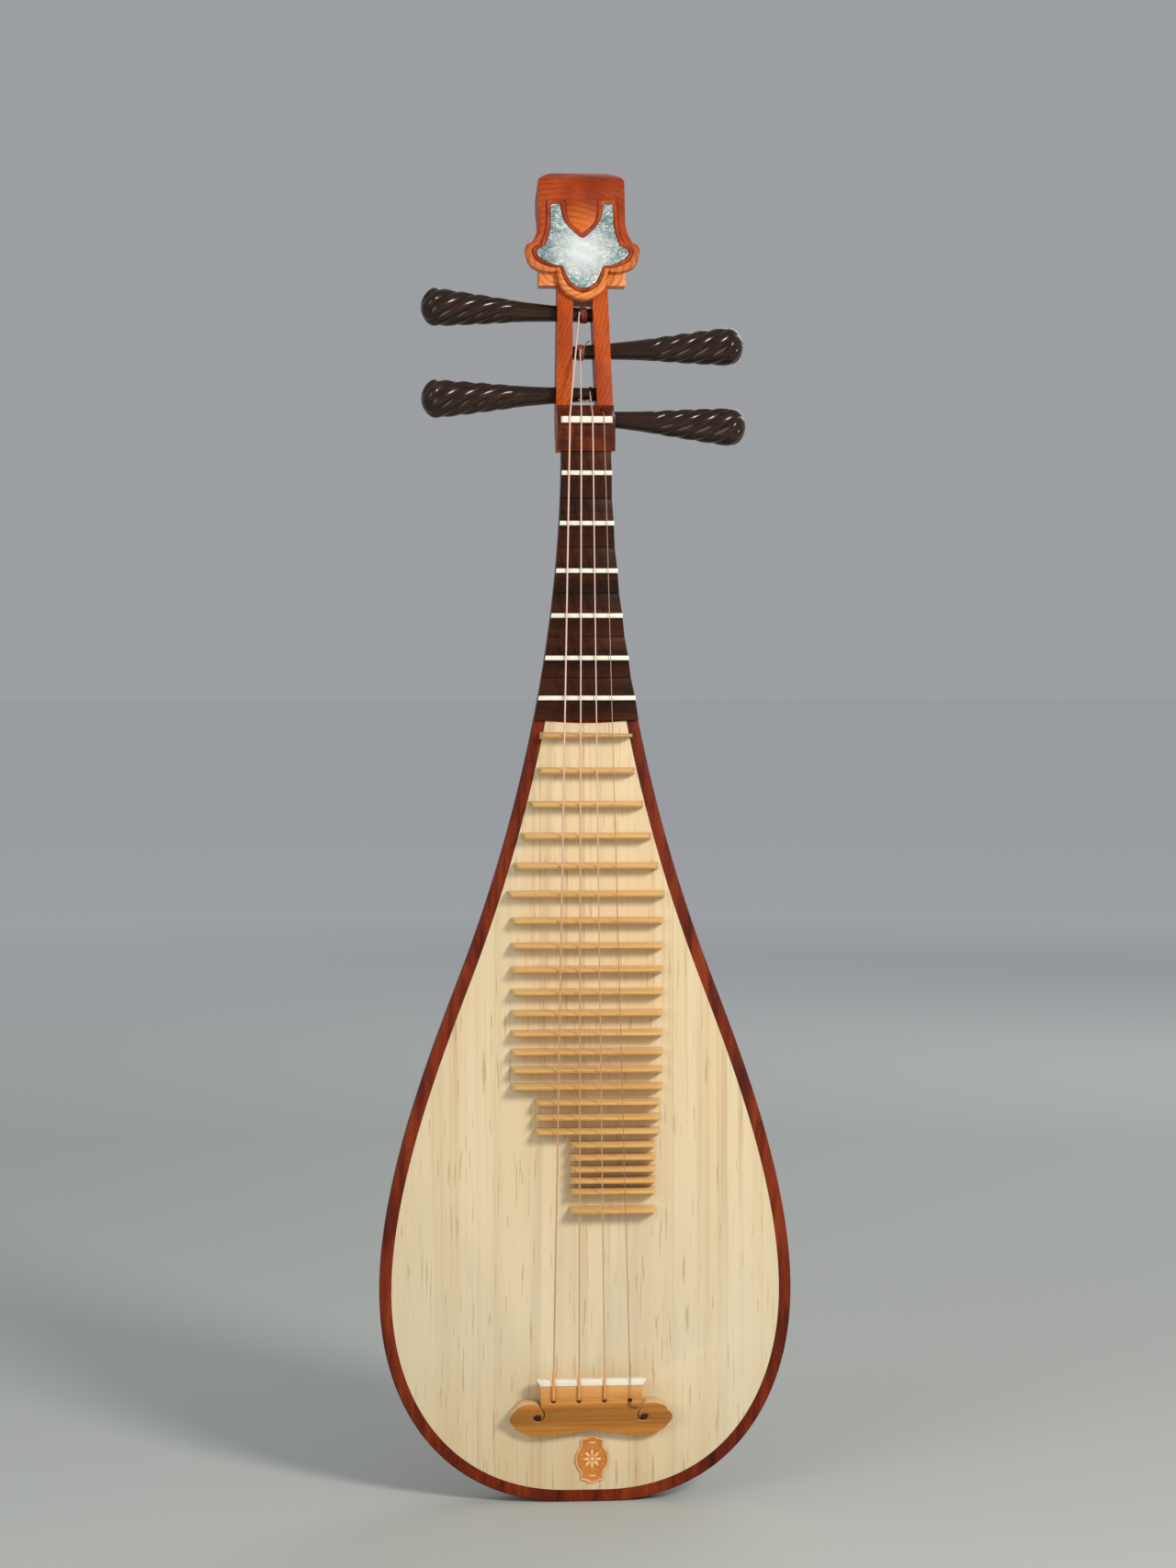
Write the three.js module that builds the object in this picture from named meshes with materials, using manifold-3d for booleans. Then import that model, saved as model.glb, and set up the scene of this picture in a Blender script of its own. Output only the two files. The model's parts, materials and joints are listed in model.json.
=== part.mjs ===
// Pipa: a pear-shaped, four-string Chinese lute, standing on its bottom end.
// Millimetres. +Z runs up the strings, the soundboard faces -Y, +X is to the right in front view.
// The origin is the centre of the small flat under the bottom end of the bowl.

import * as THREE from 'three';
import { LoftGeometry } from 'three/addons/geometries/LoftGeometry.js';
import { mergeVertices } from 'three/addons/utils/BufferGeometryUtils.js';
import Module from 'manifold-3d';

const wasm = await Module();
wasm.setup();

// ---------------------------------------------------------------- driving dimensions

const GAP = 0.3;                // between pieces that touch

// bowl and neck, one carved piece
const BODY_LENGTH = 799.4;      // bottom end to the top of the neck
const BODY_WIDTH = 314;
const BOWL_DEPTH = 57;          // front plane to the deepest point of the back
const NECK_WIDTH = 37.8;        // at its top end
const NECK_DEPTH = 24;
const RIM_WIDTH = 9;            // wood that frames the soundboard
const RIM_DEPTH = 16;           // upright side of the bowl before the back curves in
const NECK_SIDE_DEPTH = 8;
const FOOT_WIDTH = 28;          // flat under the bottom end
const WALL = 8;                 // back of the bowl
const BOARD_SEAT = 5;           // step behind the edge of the soundboard
const CAVITY_TOP_WOOD = 35;     // solid neck below the top edge of the soundboard

// soundboard and what stands behind it
const BOARD_THICKNESS = 5;
const BOARD_TOP_SAG = 2;
const SOUND_HOLE_RADIUS = 5;
const BRACE_DEPTH = 10;
const BRACE_HEIGHT = 9;
const BRACE_REACH = 0.88;       // share of the cavity's width that a brace spans
const BRACE_PLACES = { brace_upper: 0.58, brace_middle: 0.38, brace_lower: 0.17 };
const POST_RADIUS = 4;
const POST_CLEARANCE = 1.2;

// strings
const NUT_RISE = 23.8;          // nut above the top of the neck
const BRIDGE_TOP = 97.1;        // upper edge of the bridge
const BRIDGE_COMPENSATION = 5.1;  // strings run on below the scale by which the frets are set
const STRING_HEIGHT_NUT = 13;   // above the front plane
const STRING_HEIGHT_BRIDGE = 22;
const STRING_SPREAD_NUT = 8.67;
const STRING_SPREAD_BRIDGE = 19.3;
const STRING_RADII = [0.65, 0.55, 0.47, 0.4];
const STRING_ENDS = [-2.3, -2.2, 4.6];  // of strings 1 to 3 on their pegs, from the centre plane
const STRING_SIDES = 8;

// ledges on the neck and frets on the soundboard
const LEDGE_COUNT = 6;
const FRET_NOTES = [7, 8, 9, 10, 11, 12, 13, 14, 15, 16, 17, 18, 19, 20, 21, 22, 23, 24,
  25, 26, 27, 28, 29, 31];
const LAST_LEDGE_REACH = 17;    // of the lowest ledge, below its ridge
const LEDGE_VALLEY = 4;
const STRIP_WIDTH = 3.6;
const STRIP_HEIGHT = 2.4;
const CLEARANCE_TOP = 1.3;      // string to ridge at the highest ledge
const CLEARANCE_BOTTOM = 4.6;   // and at the lowest fret
const FRET_BASE = 5.6;
const FRET_RIDGE = 2;
const FRET_END_SLOPE = 3;
const FRET_MARGINS = [13.7, 22.4, 22, 22.7, 25, 28];  // body width less length, frets 1 to 6
const FRET_GROUPS = [
  { last: 15, left: -57, right: 58.5 },
  { last: 18, left: -39, right: 56.5 },
  { last: 24, left: -12.7, right: 53 },
];

// bridge
const BRIDGE_X = 3;
const BRIDGE_HALF = 38.8;       // upper block
const CAP_HALF = 41.5;
const CAP_HEIGHT = 4.7;
const CAP_DEPTH = 10;
const BRIDGE_FRONT_TOP = 20.4;  // height of the bridge above the board
const BRIDGE_FRONT_BOTTOM = 9;
const TIE_HOLE_DROP = 15.6;     // string holes below the upper edge
const TIE_HOLE_RADIUS = 1.6;
const TIE_HOLE_DEPTH = 8;
const SOUND_CHANNEL = { width: 12, height: 6 };

// nut and the block under it
const NUT_BLOCK_WIDTH = 44;
const NUT_BLOCK_HEIGHT = 36.4;
const NUT_SEAT = 7;             // seat of the nut, in front of the front plane
const NUT_WIDTH = 39.2;
const NUT_THICKNESS = 5;

// pegbox, in a frame that leans back from the top of the neck
const HEAD_LEAN = THREE.MathUtils.degToRad(15);
const PEGBOX_SETBACK = 2;       // its front, behind the front plane, at the top of the neck
const PEGBOX_WIDTH = 43.6;
const PEGBOX_TOP_WIDTH = 37.6;
const PEGBOX_DEPTH = 30;
const PEGBOX_LENGTH = 150;
const SLOT_WIDTH = 19.4;
const SLOT_TOP_WIDTH = 14.8;
const SLOT_BOTTOM = 17;
const SLOT_TOP = 128;

// pegs
const PEG_SHAFT_RADIUS = 6.3;   // where it enters the cheek
const PEG_TIP_RADIUS = 4.8;
const PEG_TIP_DEPTH = 8;        // of the blind hole in the far cheek
const PEG_HANDLE = 104;
const PEG_HANDLE_RADIUS = 15;
const PEG_DOME = 12;
const PEG_FLUTED = 76;
const PEG_FLUTES = 6;
const PEG_FLUTE_DEPTH = 1.6;
const PEG_TWIST_PITCH = 84;
const PEG_SEGMENTS = 32;
const PEG_DEPTH = 15;           // axis behind the front of the pegbox
const PEGS = [                  // place up the pegbox, side, and rise of the handle in degrees
  { name: 'peg_1', up: 116.2, side: -1, rise: 3.1 },
  { name: 'peg_2', up: 85.5, side: 1, rise: 2.9 },
  { name: 'peg_3', up: 51.1, side: -1, rise: -1.9 },
  { name: 'peg_4', up: 32.3, side: 1, rise: -3.4 },
];

// head
const HEAD_TIP = 121;           // lowest point of the front plate, up the pegbox
const HEAD_WIDTH = 67;
const HEAD_BLOCK_BOTTOM = 134.8;  // at its front; the underside is level
const HEAD_BLOCK_DEPTH = 24;
const HEAD_PLATE_THICKNESS = 7;
const HEAD_ROLL_RADIUS = 24;
const HEAD_ROLL_UP = 209;     // centre of the roll, up the pegbox
const HEAD_SIDE_RISE = 12.3;    // top of the head's sides, above the centre of the roll
const HEAD_CREST_RISE = 22.6;   // where its level top begins
const HEAD_CREST_HALF = 18;
const BORDER_SHARE = 0.42;      // of the way from the inlay's edge to the plate's edge
const CLEAR_SHARE = 0.05;       // share of that way that leaves the gap between two pieces
const BORDER_WIDTH = 3.6;       // round the horns
const BORDER_RISE = 1.6;
const INLAY_RISE = 0.6;
const INLAY_RECESS = 2;

// badge
const BADGE = { x: 4.6, z: 32.5, height: 36.2, width: 17, bulge: 12.6, thickness: 1.4 };

// ---------------------------------------------------------------- derived places

const FACE_Y = -RIM_DEPTH / 2;                          // front plane
const HALF_WIDTH = BODY_WIDTH / 2;
const WIDEST_Z = 0.201 * BODY_LENGTH;
const NUT_Z = BODY_LENGTH + NUT_RISE;
const SCALE_LENGTH = NUT_Z - BRIDGE_TOP - BRIDGE_COMPENSATION;
const noteZ = (note) => NUT_Z - SCALE_LENGTH * (1 - 2 ** (-note / 12));
const BOARD_TOP = noteZ(LEDGE_COUNT) - LAST_LEDGE_REACH;
const PEGBOX_Y = FACE_Y + PEGBOX_SETBACK;

const share = (value, from, to) => THREE.MathUtils.clamp((value - from) / (to - from), 0, 1);
const mix = THREE.MathUtils.lerp;
const point = (x, y) => new THREE.Vector2(x, y);

// 1 over the deep part of the bowl, easing to 0 where the neck begins
const bowlShare = (z) => (1 + Math.cos(Math.PI * share(z, WIDEST_Z, 0.74 * BODY_LENGTH))) / 2;
const backDepth = (z) => mix(NECK_DEPTH, BOWL_DEPTH, bowlShare(z));
const sideDepth = (z) => mix(NECK_SIDE_DEPTH, RIM_DEPTH, bowlShare(z));

const stringHeight = (z) =>
  mix(STRING_HEIGHT_BRIDGE, STRING_HEIGHT_NUT, (z - BRIDGE_TOP) / (NUT_Z - BRIDGE_TOP));
const ridgeHeight = (z) => stringHeight(z) -
  mix(CLEARANCE_BOTTOM, CLEARANCE_TOP, share(z, noteZ(FRET_NOTES.at(-1)), noteZ(1)));

// a point of the side view, from the object's frame to the leaning frame of the pegbox
function toHead(y, z) {
  const back = y - PEGBOX_Y;
  const up = z - BODY_LENGTH;
  return point(back * Math.cos(HEAD_LEAN) - up * Math.sin(HEAD_LEAN),
    back * Math.sin(HEAD_LEAN) + up * Math.cos(HEAD_LEAN));
}

function fromHead(x, back, up) {
  return new THREE.Vector3(x,
    PEGBOX_Y + back * Math.cos(HEAD_LEAN) + up * Math.sin(HEAD_LEAN),
    BODY_LENGTH - back * Math.sin(HEAD_LEAN) + up * Math.cos(HEAD_LEAN));
}

// ---------------------------------------------------------------- geometry helpers

// closed geometry with shared corners and no collapsed triangles
function welded(geometry) {
  const bare = geometry.index ? geometry.clone() : geometry;
  bare.deleteAttribute('normal');
  bare.deleteAttribute('uv');
  const joined = mergeVertices(bare);
  const index = joined.index.array;
  const kept = [];
  for (let i = 0; i < index.length; i += 3) {
    const [a, b, c] = [index[i], index[i + 1], index[i + 2]];
    if (a !== b && b !== c && c !== a) kept.push(a, b, c);
  }
  joined.setIndex(kept);
  return joined;
}

function toSolid(geometry) {
  const closed = welded(geometry);
  return new wasm.Manifold(new wasm.Mesh({
    numProp: 3,
    vertProperties: Float32Array.from(closed.attributes.position.array),
    triVerts: Uint32Array.from(closed.index.array),
  }));
}

function toGeometry(solid) {
  const mesh = solid.getMesh();
  const geometry = new THREE.BufferGeometry();
  geometry.setAttribute('position', new THREE.BufferAttribute(mesh.vertProperties, 3));
  geometry.setIndex(new THREE.BufferAttribute(mesh.triVerts, 1));
  return geometry;
}

// the first shape, kept only where the others are solid, less the cuts
function carved(first, { within = [], cuts = [] }) {
  let solid = toSolid(first);
  for (const other of within) solid = solid.intersect(toSolid(other));
  for (const cut of cuts) solid = solid.subtract(toSolid(cut));
  return toGeometry(solid);
}

// outline in front view (x, z), extruded from y to y + depth
function frontExtrude(shape, y, depth, curveSegments = 6) {
  const geometry = new THREE.ExtrudeGeometry(shape, { depth, bevelEnabled: false, curveSegments });
  return geometry.rotateX(Math.PI / 2).translate(0, y + depth, 0);
}

// outline in side view (y, z), extruded over a width centred on x
function sideExtrude(shape, width, x = 0, curveSegments = 6) {
  const geometry = new THREE.ExtrudeGeometry(shape,
    { depth: width, bevelEnabled: false, curveSegments });
  const turn = new THREE.Matrix4().makeBasis(new THREE.Vector3(0, 1, 0),
    new THREE.Vector3(0, 0, 1), new THREE.Vector3(1, 0, 0));
  return geometry.applyMatrix4(turn).translate(x - width / 2, 0, 0);
}

// closed outline from its right half, given from the bottom to the top
function mirroredShape(half) {
  const left = half.filter((p) => p.x > 0).reverse().map((p) => point(-p.x, p.y));
  return new THREE.Shape([...half, ...left]);
}

// straight round bar between two points, with a radius at each
function roundBar(from, to, radiusFrom, radiusTo, segments = 24) {
  const axis = to.clone().sub(from);
  const bar = new THREE.CylinderGeometry(radiusTo, radiusFrom, axis.length(), segments);
  bar.applyQuaternion(new THREE.Quaternion().setFromUnitVectors(
    new THREE.Vector3(0, 1, 0), axis.clone().normalize()));
  const middle = from.clone().add(to).multiplyScalar(0.5);
  return bar.translate(middle.x, middle.y, middle.z);
}

// ---------------------------------------------------------------- outline of the body

// right half of the pear outline, from the bottom centre to the top of the neck
function bodyOutline() {
  const L = BODY_LENGTH;
  const W = HALF_WIDTH;
  const path = new THREE.CurvePath();
  const foot = point(FOOT_WIDTH / 2, 0);
  const widest = point(W, WIDEST_Z);
  const shoulder = point(0.581 * W, 0.5169 * L);
  const top = point(NECK_WIDTH / 2, L);
  path.add(new THREE.CubicBezierCurve(foot, point(0.665 * W, 0), point(W, 0.0857 * L), widest));
  path.add(new THREE.CubicBezierCurve(widest, point(W, 0.3147 * L),
    point(0.7045 * W, 0.4512 * L), shoulder));
  path.add(new THREE.CubicBezierCurve(shoulder, point(0.276 * W, 0.6786 * L),
    point(NECK_WIDTH / 2, 0.8515 * L), top));
  return [point(0, 0), ...path.getPoints(14)];
}

const OUTLINE = bodyOutline();

function halfWidthAt(outline, z) {
  const i = outline.findIndex((p) => p.y >= z && p.y > 0);
  const [a, b] = [outline[i - 1], outline[i]];
  return mix(a.x, b.x, (z - a.y) / (b.y - a.y));
}

// outline moved in by a distance, and ended level at a height
function insetOutline(distance, topZ) {
  const moved = OUTLINE.map((p, i) => {
    const before = OUTLINE[Math.max(i - 1, 0)];
    const after = OUTLINE[Math.min(i + 1, OUTLINE.length - 1)];
    const along = i === 0 ? point(1, 0) : after.clone().sub(before).normalize();
    return point(p.x - along.y * distance, p.y + along.x * distance);
  });
  const kept = moved.filter((p) => p.y < topZ - 1);
  return [...kept, point(halfWidthAt(moved, topZ), topZ)];
}

// part of the outline between two heights
function outlineBetween(bottom, top, inset = 0) {
  const between = OUTLINE.filter((p) => p.y > bottom + 1 && p.y < top - 1);
  const ends = [bottom, top].map((z) => point(halfWidthAt(OUTLINE, z), z));
  return [ends[0], ...between, ends[1]].map((p) => point(p.x - inset, p.y));
}

// ---------------------------------------------------------------- bowl and neck

const BOWL_COLUMNS = 8;
const BOWL_FULLNESS = 2.3;      // 2 would make the back's cross-section an ellipse

// one cross-section, from the left front edge round the back to the right front edge;
// below the widest place the sections fan out from one point of the back
function bowlSection(edge, front, side, back) {
  const spineZ = Math.max(edge.y, WIDEST_Z);
  const half = [];
  for (let j = 0; j <= BOWL_COLUMNS; j += 1) {
    const angle = j / BOWL_COLUMNS * Math.PI / 2;
    const out = Math.max(Math.cos(angle), 0) ** (2 / BOWL_FULLNESS) * (j < BOWL_COLUMNS);
    const depth = mix(side, back, Math.sin(angle) ** (2 / BOWL_FULLNESS));
    half.push(new THREE.Vector3(edge.x * out, front + depth, mix(spineZ, edge.y, out)));
  }
  const edgePoint = new THREE.Vector3(edge.x, front, edge.y);
  const right = [edgePoint, ...half];
  const left = right.map((p) => new THREE.Vector3(-p.x, p.y, p.z));
  return [...left, ...right.slice(0, -1).reverse()];
}

// closed solid behind a half outline, with a flat front and a level top end
function bowlSolid(outline, front, side, back) {
  const rows = outline.map((p) =>
    bowlSection(p, front, side(p.y), back(Math.max(p.y, WIDEST_Z))));
  const corners = [];
  const addTriangle = (a, b, c) => corners.push(...a.toArray(), ...b.toArray(), ...c.toArray());
  for (let i = 0; i + 1 < rows.length; i += 1) {
    for (let j = 0; j + 1 < rows[i].length; j += 1) {
      addTriangle(rows[i][j], rows[i + 1][j], rows[i][j + 1]);
      addTriangle(rows[i][j + 1], rows[i + 1][j], rows[i + 1][j + 1]);
    }
  }
  const end = rows.at(-1);
  const endFaces = THREE.ShapeUtils.triangulateShape(end.map((p) => point(p.x, p.y)), []);
  for (const [a, b, c] of endFaces) addTriangle(end[a], end[b], end[c]);
  const rim = [...rows.map((row) => row.at(-1)), ...rows.slice(1).reverse().map((row) => row[0])];
  const rimFaces = THREE.ShapeUtils.triangulateShape(rim.map((p) => point(p.x, p.z)), []);
  for (const [a, b, c] of rimFaces) addTriangle(rim[a], rim[b], rim[c]);
  const geometry = new THREE.BufferGeometry();
  geometry.setAttribute('position', new THREE.Float32BufferAttribute(corners, 3));
  return geometry;
}

const CAVITY_INSET = RIM_WIDTH + BOARD_SEAT;
const CAVITY_TOP = BOARD_TOP - CAVITY_TOP_WOOD;
const CAVITY = insetOutline(CAVITY_INSET, CAVITY_TOP);
const BRACE_ROOM = BOARD_THICKNESS + BRACE_DEPTH + 4;
const cavitySide = (z) => mix(BOARD_THICKNESS + 4, BRACE_ROOM, bowlShare(z));
const cavityBack = (z) => backDepth(z) - WALL;

// outline of the soundboard, or of its seat in the rim, with a sagging top edge
function boardShape(clearance) {
  const half = insetOutline(RIM_WIDTH + clearance, BOARD_TOP - clearance);
  const corner = half.at(-1);
  const shape = new THREE.Shape(half);
  shape.quadraticCurveTo(0, corner.y - 2 * BOARD_TOP_SAG, -corner.x, corner.y);
  half.slice(1, -1).reverse().forEach((p) => shape.lineTo(-p.x, p.y));
  return shape;
}

function bodyBack() {
  const outer = bowlSolid(OUTLINE, FACE_Y, sideDepth, backDepth);
  const cavity = bowlSolid(CAVITY, FACE_Y, cavitySide, cavityBack);
  const seat = frontExtrude(boardShape(0), FACE_Y - 1, BOARD_THICKNESS + GAP + 1);
  return carved(outer, { cuts: [seat, cavity] });
}

function soundboard() {
  const shape = boardShape(GAP);
  const hole = new THREE.Path();
  hole.absarc(BRIDGE_X, BRIDGE_TOP - 24, SOUND_HOLE_RADIUS, 0, 2 * Math.PI);
  shape.holes.push(hole);
  return frontExtrude(shape, FACE_Y, BOARD_THICKNESS);
}

const BRACE_FRONT = FACE_Y + BOARD_THICKNESS + GAP;

// bar across the cavity behind the soundboard, thinned towards its ends
function brace(z) {
  const reach = halfWidthAt(CAVITY, z) * BRACE_REACH;
  const back = BRACE_FRONT + BRACE_DEPTH;
  const outline = new THREE.Shape([
    point(-reach, BRACE_FRONT), point(reach, BRACE_FRONT),
    point(reach, mix(BRACE_FRONT, back, 0.4)), point(reach * 0.75, back),
    point(-reach * 0.75, back), point(-reach, mix(BRACE_FRONT, back, 0.4)),
  ]);
  const geometry = new THREE.ExtrudeGeometry(outline,
    { depth: BRACE_HEIGHT, bevelEnabled: false });
  return geometry.translate(0, 0, z - BRACE_HEIGHT / 2);
}

function soundPost(z) {
  const from = new THREE.Vector3(0, BRACE_FRONT + BRACE_DEPTH + GAP, z);
  const to = new THREE.Vector3(0, FACE_Y + cavityBack(z) - POST_CLEARANCE, z);
  return roundBar(from, to, POST_RADIUS, POST_RADIUS, 16);
}

// ---------------------------------------------------------------- ledges and frets

// heights in the object are counted forward from the front plane
const sideShape = (pairs) => new THREE.Shape(pairs.map(([height, z]) => point(FACE_Y - height, z)));

function ledgeBounds(number) {
  const top = number === 1 ? BODY_LENGTH : (noteZ(number - 1) + noteZ(number)) / 2;
  const bottom = number === LEDGE_COUNT ? BOARD_TOP : (noteZ(number) + noteZ(number + 1)) / 2;
  return { bottom: bottom + GAP, top };
}

// block across the neck, rising from both ends to the strip that stops the strings
function ledge(number) {
  const { bottom, top } = ledgeBounds(number);
  const ridge = noteZ(number);
  const seat = ridgeHeight(ridge) - STRIP_HEIGHT - GAP;
  const profile = sideShape([
    [GAP, bottom], [LEDGE_VALLEY, bottom], [seat, ridge - STRIP_WIDTH / 2],
    [seat, ridge + STRIP_WIDTH / 2], [LEDGE_VALLEY, top], [GAP, top],
  ]);
  const plan = mirroredShape(outlineBetween(bottom, top));
  return carved(sideExtrude(profile, BODY_WIDTH),
    { within: [frontExtrude(plan, FACE_Y - 30, 60)] });
}

function ledgeStrip(number) {
  const ridge = noteZ(number);
  const plan = mirroredShape(outlineBetween(ridge - STRIP_WIDTH / 2, ridge + STRIP_WIDTH / 2));
  return frontExtrude(plan, FACE_Y - ridgeHeight(ridge), STRIP_HEIGHT);
}

// ends of a fret, left and right
function fretEnds(number, z) {
  if (number <= FRET_MARGINS.length) {
    const half = halfWidthAt(OUTLINE, z) - FRET_MARGINS[number - 1] / 2;
    return [-half, half];
  }
  const group = FRET_GROUPS.find(({ last }) => number <= last);
  return [group.left, group.right];
}

// bar that narrows upwards to its ridge, with sloping ends
function fret(number) {
  const z = noteZ(FRET_NOTES[number - 1]);
  const [left, right] = fretEnds(number, z);
  const height = ridgeHeight(z) - GAP;
  const bar = new THREE.BoxGeometry(right - left, height, FRET_BASE);
  const place = bar.attributes.position;
  for (let i = 0; i < place.count; i += 1) {
    if (place.getY(i) > 0) continue;
    place.setX(i, place.getX(i) - Math.sign(place.getX(i)) * FRET_END_SLOPE);
    place.setZ(i, Math.sign(place.getZ(i)) * FRET_RIDGE / 2);
  }
  return bar.translate((left + right) / 2, FACE_Y - GAP - height / 2, z);
}

// ---------------------------------------------------------------- bridge

const TIE_Z = BRIDGE_TOP - TIE_HOLE_DROP;
const CAP_BOTTOM = BRIDGE_TOP - CAP_HEIGHT;
const stringXAtBridge = (i) => BRIDGE_X + (i - 1.5) * STRING_SPREAD_BRIDGE;
const stringXAtNut = (i) => (i - 1.5) * STRING_SPREAD_NUT;

// front outline: an upper block and two scrolled ears, in drops below the upper edge
function bridgeShape() {
  const at = (x, drop) => point(BRIDGE_X + x, BRIDGE_TOP - drop);
  const ear = [at(36, 45.2), at(53, 42), at(61.5, 31), at(55.4, 20.8), at(45, 18.1),
    at(BRIDGE_HALF, 20.8)];
  const mirrored = (list) => list.map((p) => point(2 * BRIDGE_X - p.x, p.y)).reverse();
  const shape = new THREE.Shape();
  const start = at(0, 41.2);
  shape.moveTo(start.x, start.y);
  shape.splineThru([at(11, 42), at(23.5, 44.2), ear[0]]);
  shape.splineThru(ear.slice(1));
  const block = [at(BRIDGE_HALF, CAP_HEIGHT + GAP), at(-BRIDGE_HALF, CAP_HEIGHT + GAP)];
  block.forEach((p) => shape.lineTo(p.x, p.y));
  const leftEar = mirrored(ear);
  shape.lineTo(leftEar[0].x, leftEar[0].y);
  shape.splineThru(leftEar.slice(1));
  shape.splineThru([at(-23.5, 44.2), at(-11, 42), start]);
  for (const side of [-1, 1]) {
    const eye = new THREE.Path();
    eye.absarc(BRIDGE_X + side * 40.6, BRIDGE_TOP - 30.2, 3.2, 0, 2 * Math.PI);
    shape.holes.push(eye);
  }
  return shape;
}

function bridge() {
  const top = BRIDGE_TOP;
  const profile = sideShape([
    [GAP, top - 46], [BRIDGE_FRONT_BOTTOM, top - 46], [BRIDGE_FRONT_BOTTOM + 1.5, top - 38],
    [BRIDGE_FRONT_TOP, top - 19], [BRIDGE_FRONT_TOP, top], [GAP, top],
  ]);
  const cuts = STRING_RADII.map((_, i) => {
    const x = stringXAtBridge(i);
    const front = new THREE.Vector3(x, FACE_Y - BRIDGE_FRONT_TOP - 1, TIE_Z);
    const end = new THREE.Vector3(x, FACE_Y - BRIDGE_FRONT_TOP + TIE_HOLE_DEPTH, TIE_Z);
    return roundBar(front, end, TIE_HOLE_RADIUS, TIE_HOLE_RADIUS, 12);
  });
  const { width, height } = SOUND_CHANNEL;
  const channel = sideShape([[-1, top - 30], [height, top - 30], [height, top], [-1, top]]);
  cuts.push(sideExtrude(channel, width, BRIDGE_X));
  const block = frontExtrude(bridgeShape(), FACE_Y - 30, 30, 3);
  return carved(block, { within: [sideExtrude(profile, BODY_WIDTH)], cuts });
}

function bridgeCap() {
  const front = FACE_Y - stringHeight(BRIDGE_TOP) + STRING_RADII[0] + GAP;
  const shape = new THREE.Shape([
    point(BRIDGE_X - BRIDGE_HALF, CAP_BOTTOM), point(BRIDGE_X + BRIDGE_HALF, CAP_BOTTOM),
    point(BRIDGE_X + CAP_HALF, BRIDGE_TOP), point(BRIDGE_X - CAP_HALF, BRIDGE_TOP),
  ]);
  return frontExtrude(shape, front, CAP_DEPTH);
}

// ---------------------------------------------------------------- pegs

const PEG_OUTER = PEGBOX_WIDTH / 2 - 1 + PEG_HANDLE;     // dome end, from the centre plane
const PEG_TIP = -(SLOT_WIDTH / 2 + PEG_TIP_DEPTH);

// smooth radius of a peg at a distance from the centre plane
function pegRadius(x) {
  const fromEnd = PEG_OUTER - x;
  const stem = PEG_HANDLE - PEG_FLUTED;
  if (fromEnd < PEG_DOME) {
    return PEG_HANDLE_RADIUS * Math.sqrt(Math.max(1 - (1 - fromEnd / PEG_DOME) ** 2, 0));
  }
  if (fromEnd < PEG_FLUTED) {
    const t = share(fromEnd, PEG_DOME, PEG_FLUTED);
    return mix(PEG_HANDLE_RADIUS, PEG_SHAFT_RADIUS + 2, t ** 1.15);
  }
  if (fromEnd < PEG_HANDLE) {
    return mix(PEG_SHAFT_RADIUS + 2, PEG_SHAFT_RADIUS, (share(fromEnd, PEG_FLUTED, PEG_HANDLE)) ** 0.8
      * (stem > 0));
  }
  return mix(PEG_SHAFT_RADIUS, PEG_TIP_RADIUS, share(x, PEG_OUTER - PEG_HANDLE, PEG_TIP));
}

const pegAt = ({ side, rise, up }, x, grow = 0) => {
  const angle = THREE.MathUtils.degToRad(rise);
  return new THREE.Vector3(side * x * Math.cos(angle), PEG_DEPTH + grow, up + x * Math.sin(angle));
};

// handle with twisted flutes, stem and tapered shaft, along +X
function pegGeometry() {
  const places = [PEG_TIP, PEG_TIP + 1, 0, PEG_OUTER - PEG_HANDLE, PEG_OUTER - 90, PEG_OUTER - PEG_FLUTED];
  for (let fromEnd = PEG_FLUTED - 8; fromEnd > PEG_DOME; fromEnd -= 8) places.push(PEG_OUTER - fromEnd);
  places.push(...[1, 0.6, 0.3, 0.1, 0.015].map((t) => PEG_OUTER - PEG_DOME * t));
  const twist = (x) => -2 * Math.PI * Math.max(x - (PEG_OUTER - PEG_FLUTED), 0) / PEG_TWIST_PITCH;
  const rings = places.map((x) => {
    const radius = pegRadius(x) - (x === PEG_TIP ? 0.6 : 0);
    const fluted = share(x, PEG_OUTER - PEG_FLUTED, PEG_OUTER - PEG_FLUTED + 8) * radius / PEG_HANDLE_RADIUS;
    return Array.from({ length: PEG_SEGMENTS }, (_, k) => {
      const angle = 2 * Math.PI * k / PEG_SEGMENTS;
      const groove = PEG_FLUTE_DEPTH * fluted * (1 - Math.cos(PEG_FLUTES * angle)) / 2;
      const turned = angle + twist(x);
      const r = radius - groove;
      return new THREE.Vector3(x, r * Math.cos(turned), r * Math.sin(turned));
    });
  });
  return new LoftGeometry(rings, { capStart: true, capEnd: true });
}

// tapered hole through the near cheek, and blind in the far one
function pegHole(peg) {
  const inner = PEG_TIP - GAP;
  const outer = PEG_OUTER - PEG_HANDLE + 4;
  return roundBar(pegAt(peg, inner), pegAt(peg, outer), PEG_TIP_RADIUS + 2 * GAP,
    PEG_SHAFT_RADIUS + 2 * GAP);
}

// ---------------------------------------------------------------- pegbox, nut block and nut

const cheekHalf = (up) =>
  mix(PEGBOX_WIDTH, PEGBOX_TOP_WIDTH, share(up, NUT_BLOCK_HEIGHT, PEGBOX_LENGTH)) / 2;
const slotHalf = (up) => mix(SLOT_WIDTH, SLOT_TOP_WIDTH, share(up, NUT_BLOCK_HEIGHT, SLOT_TOP)) / 2;

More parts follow.
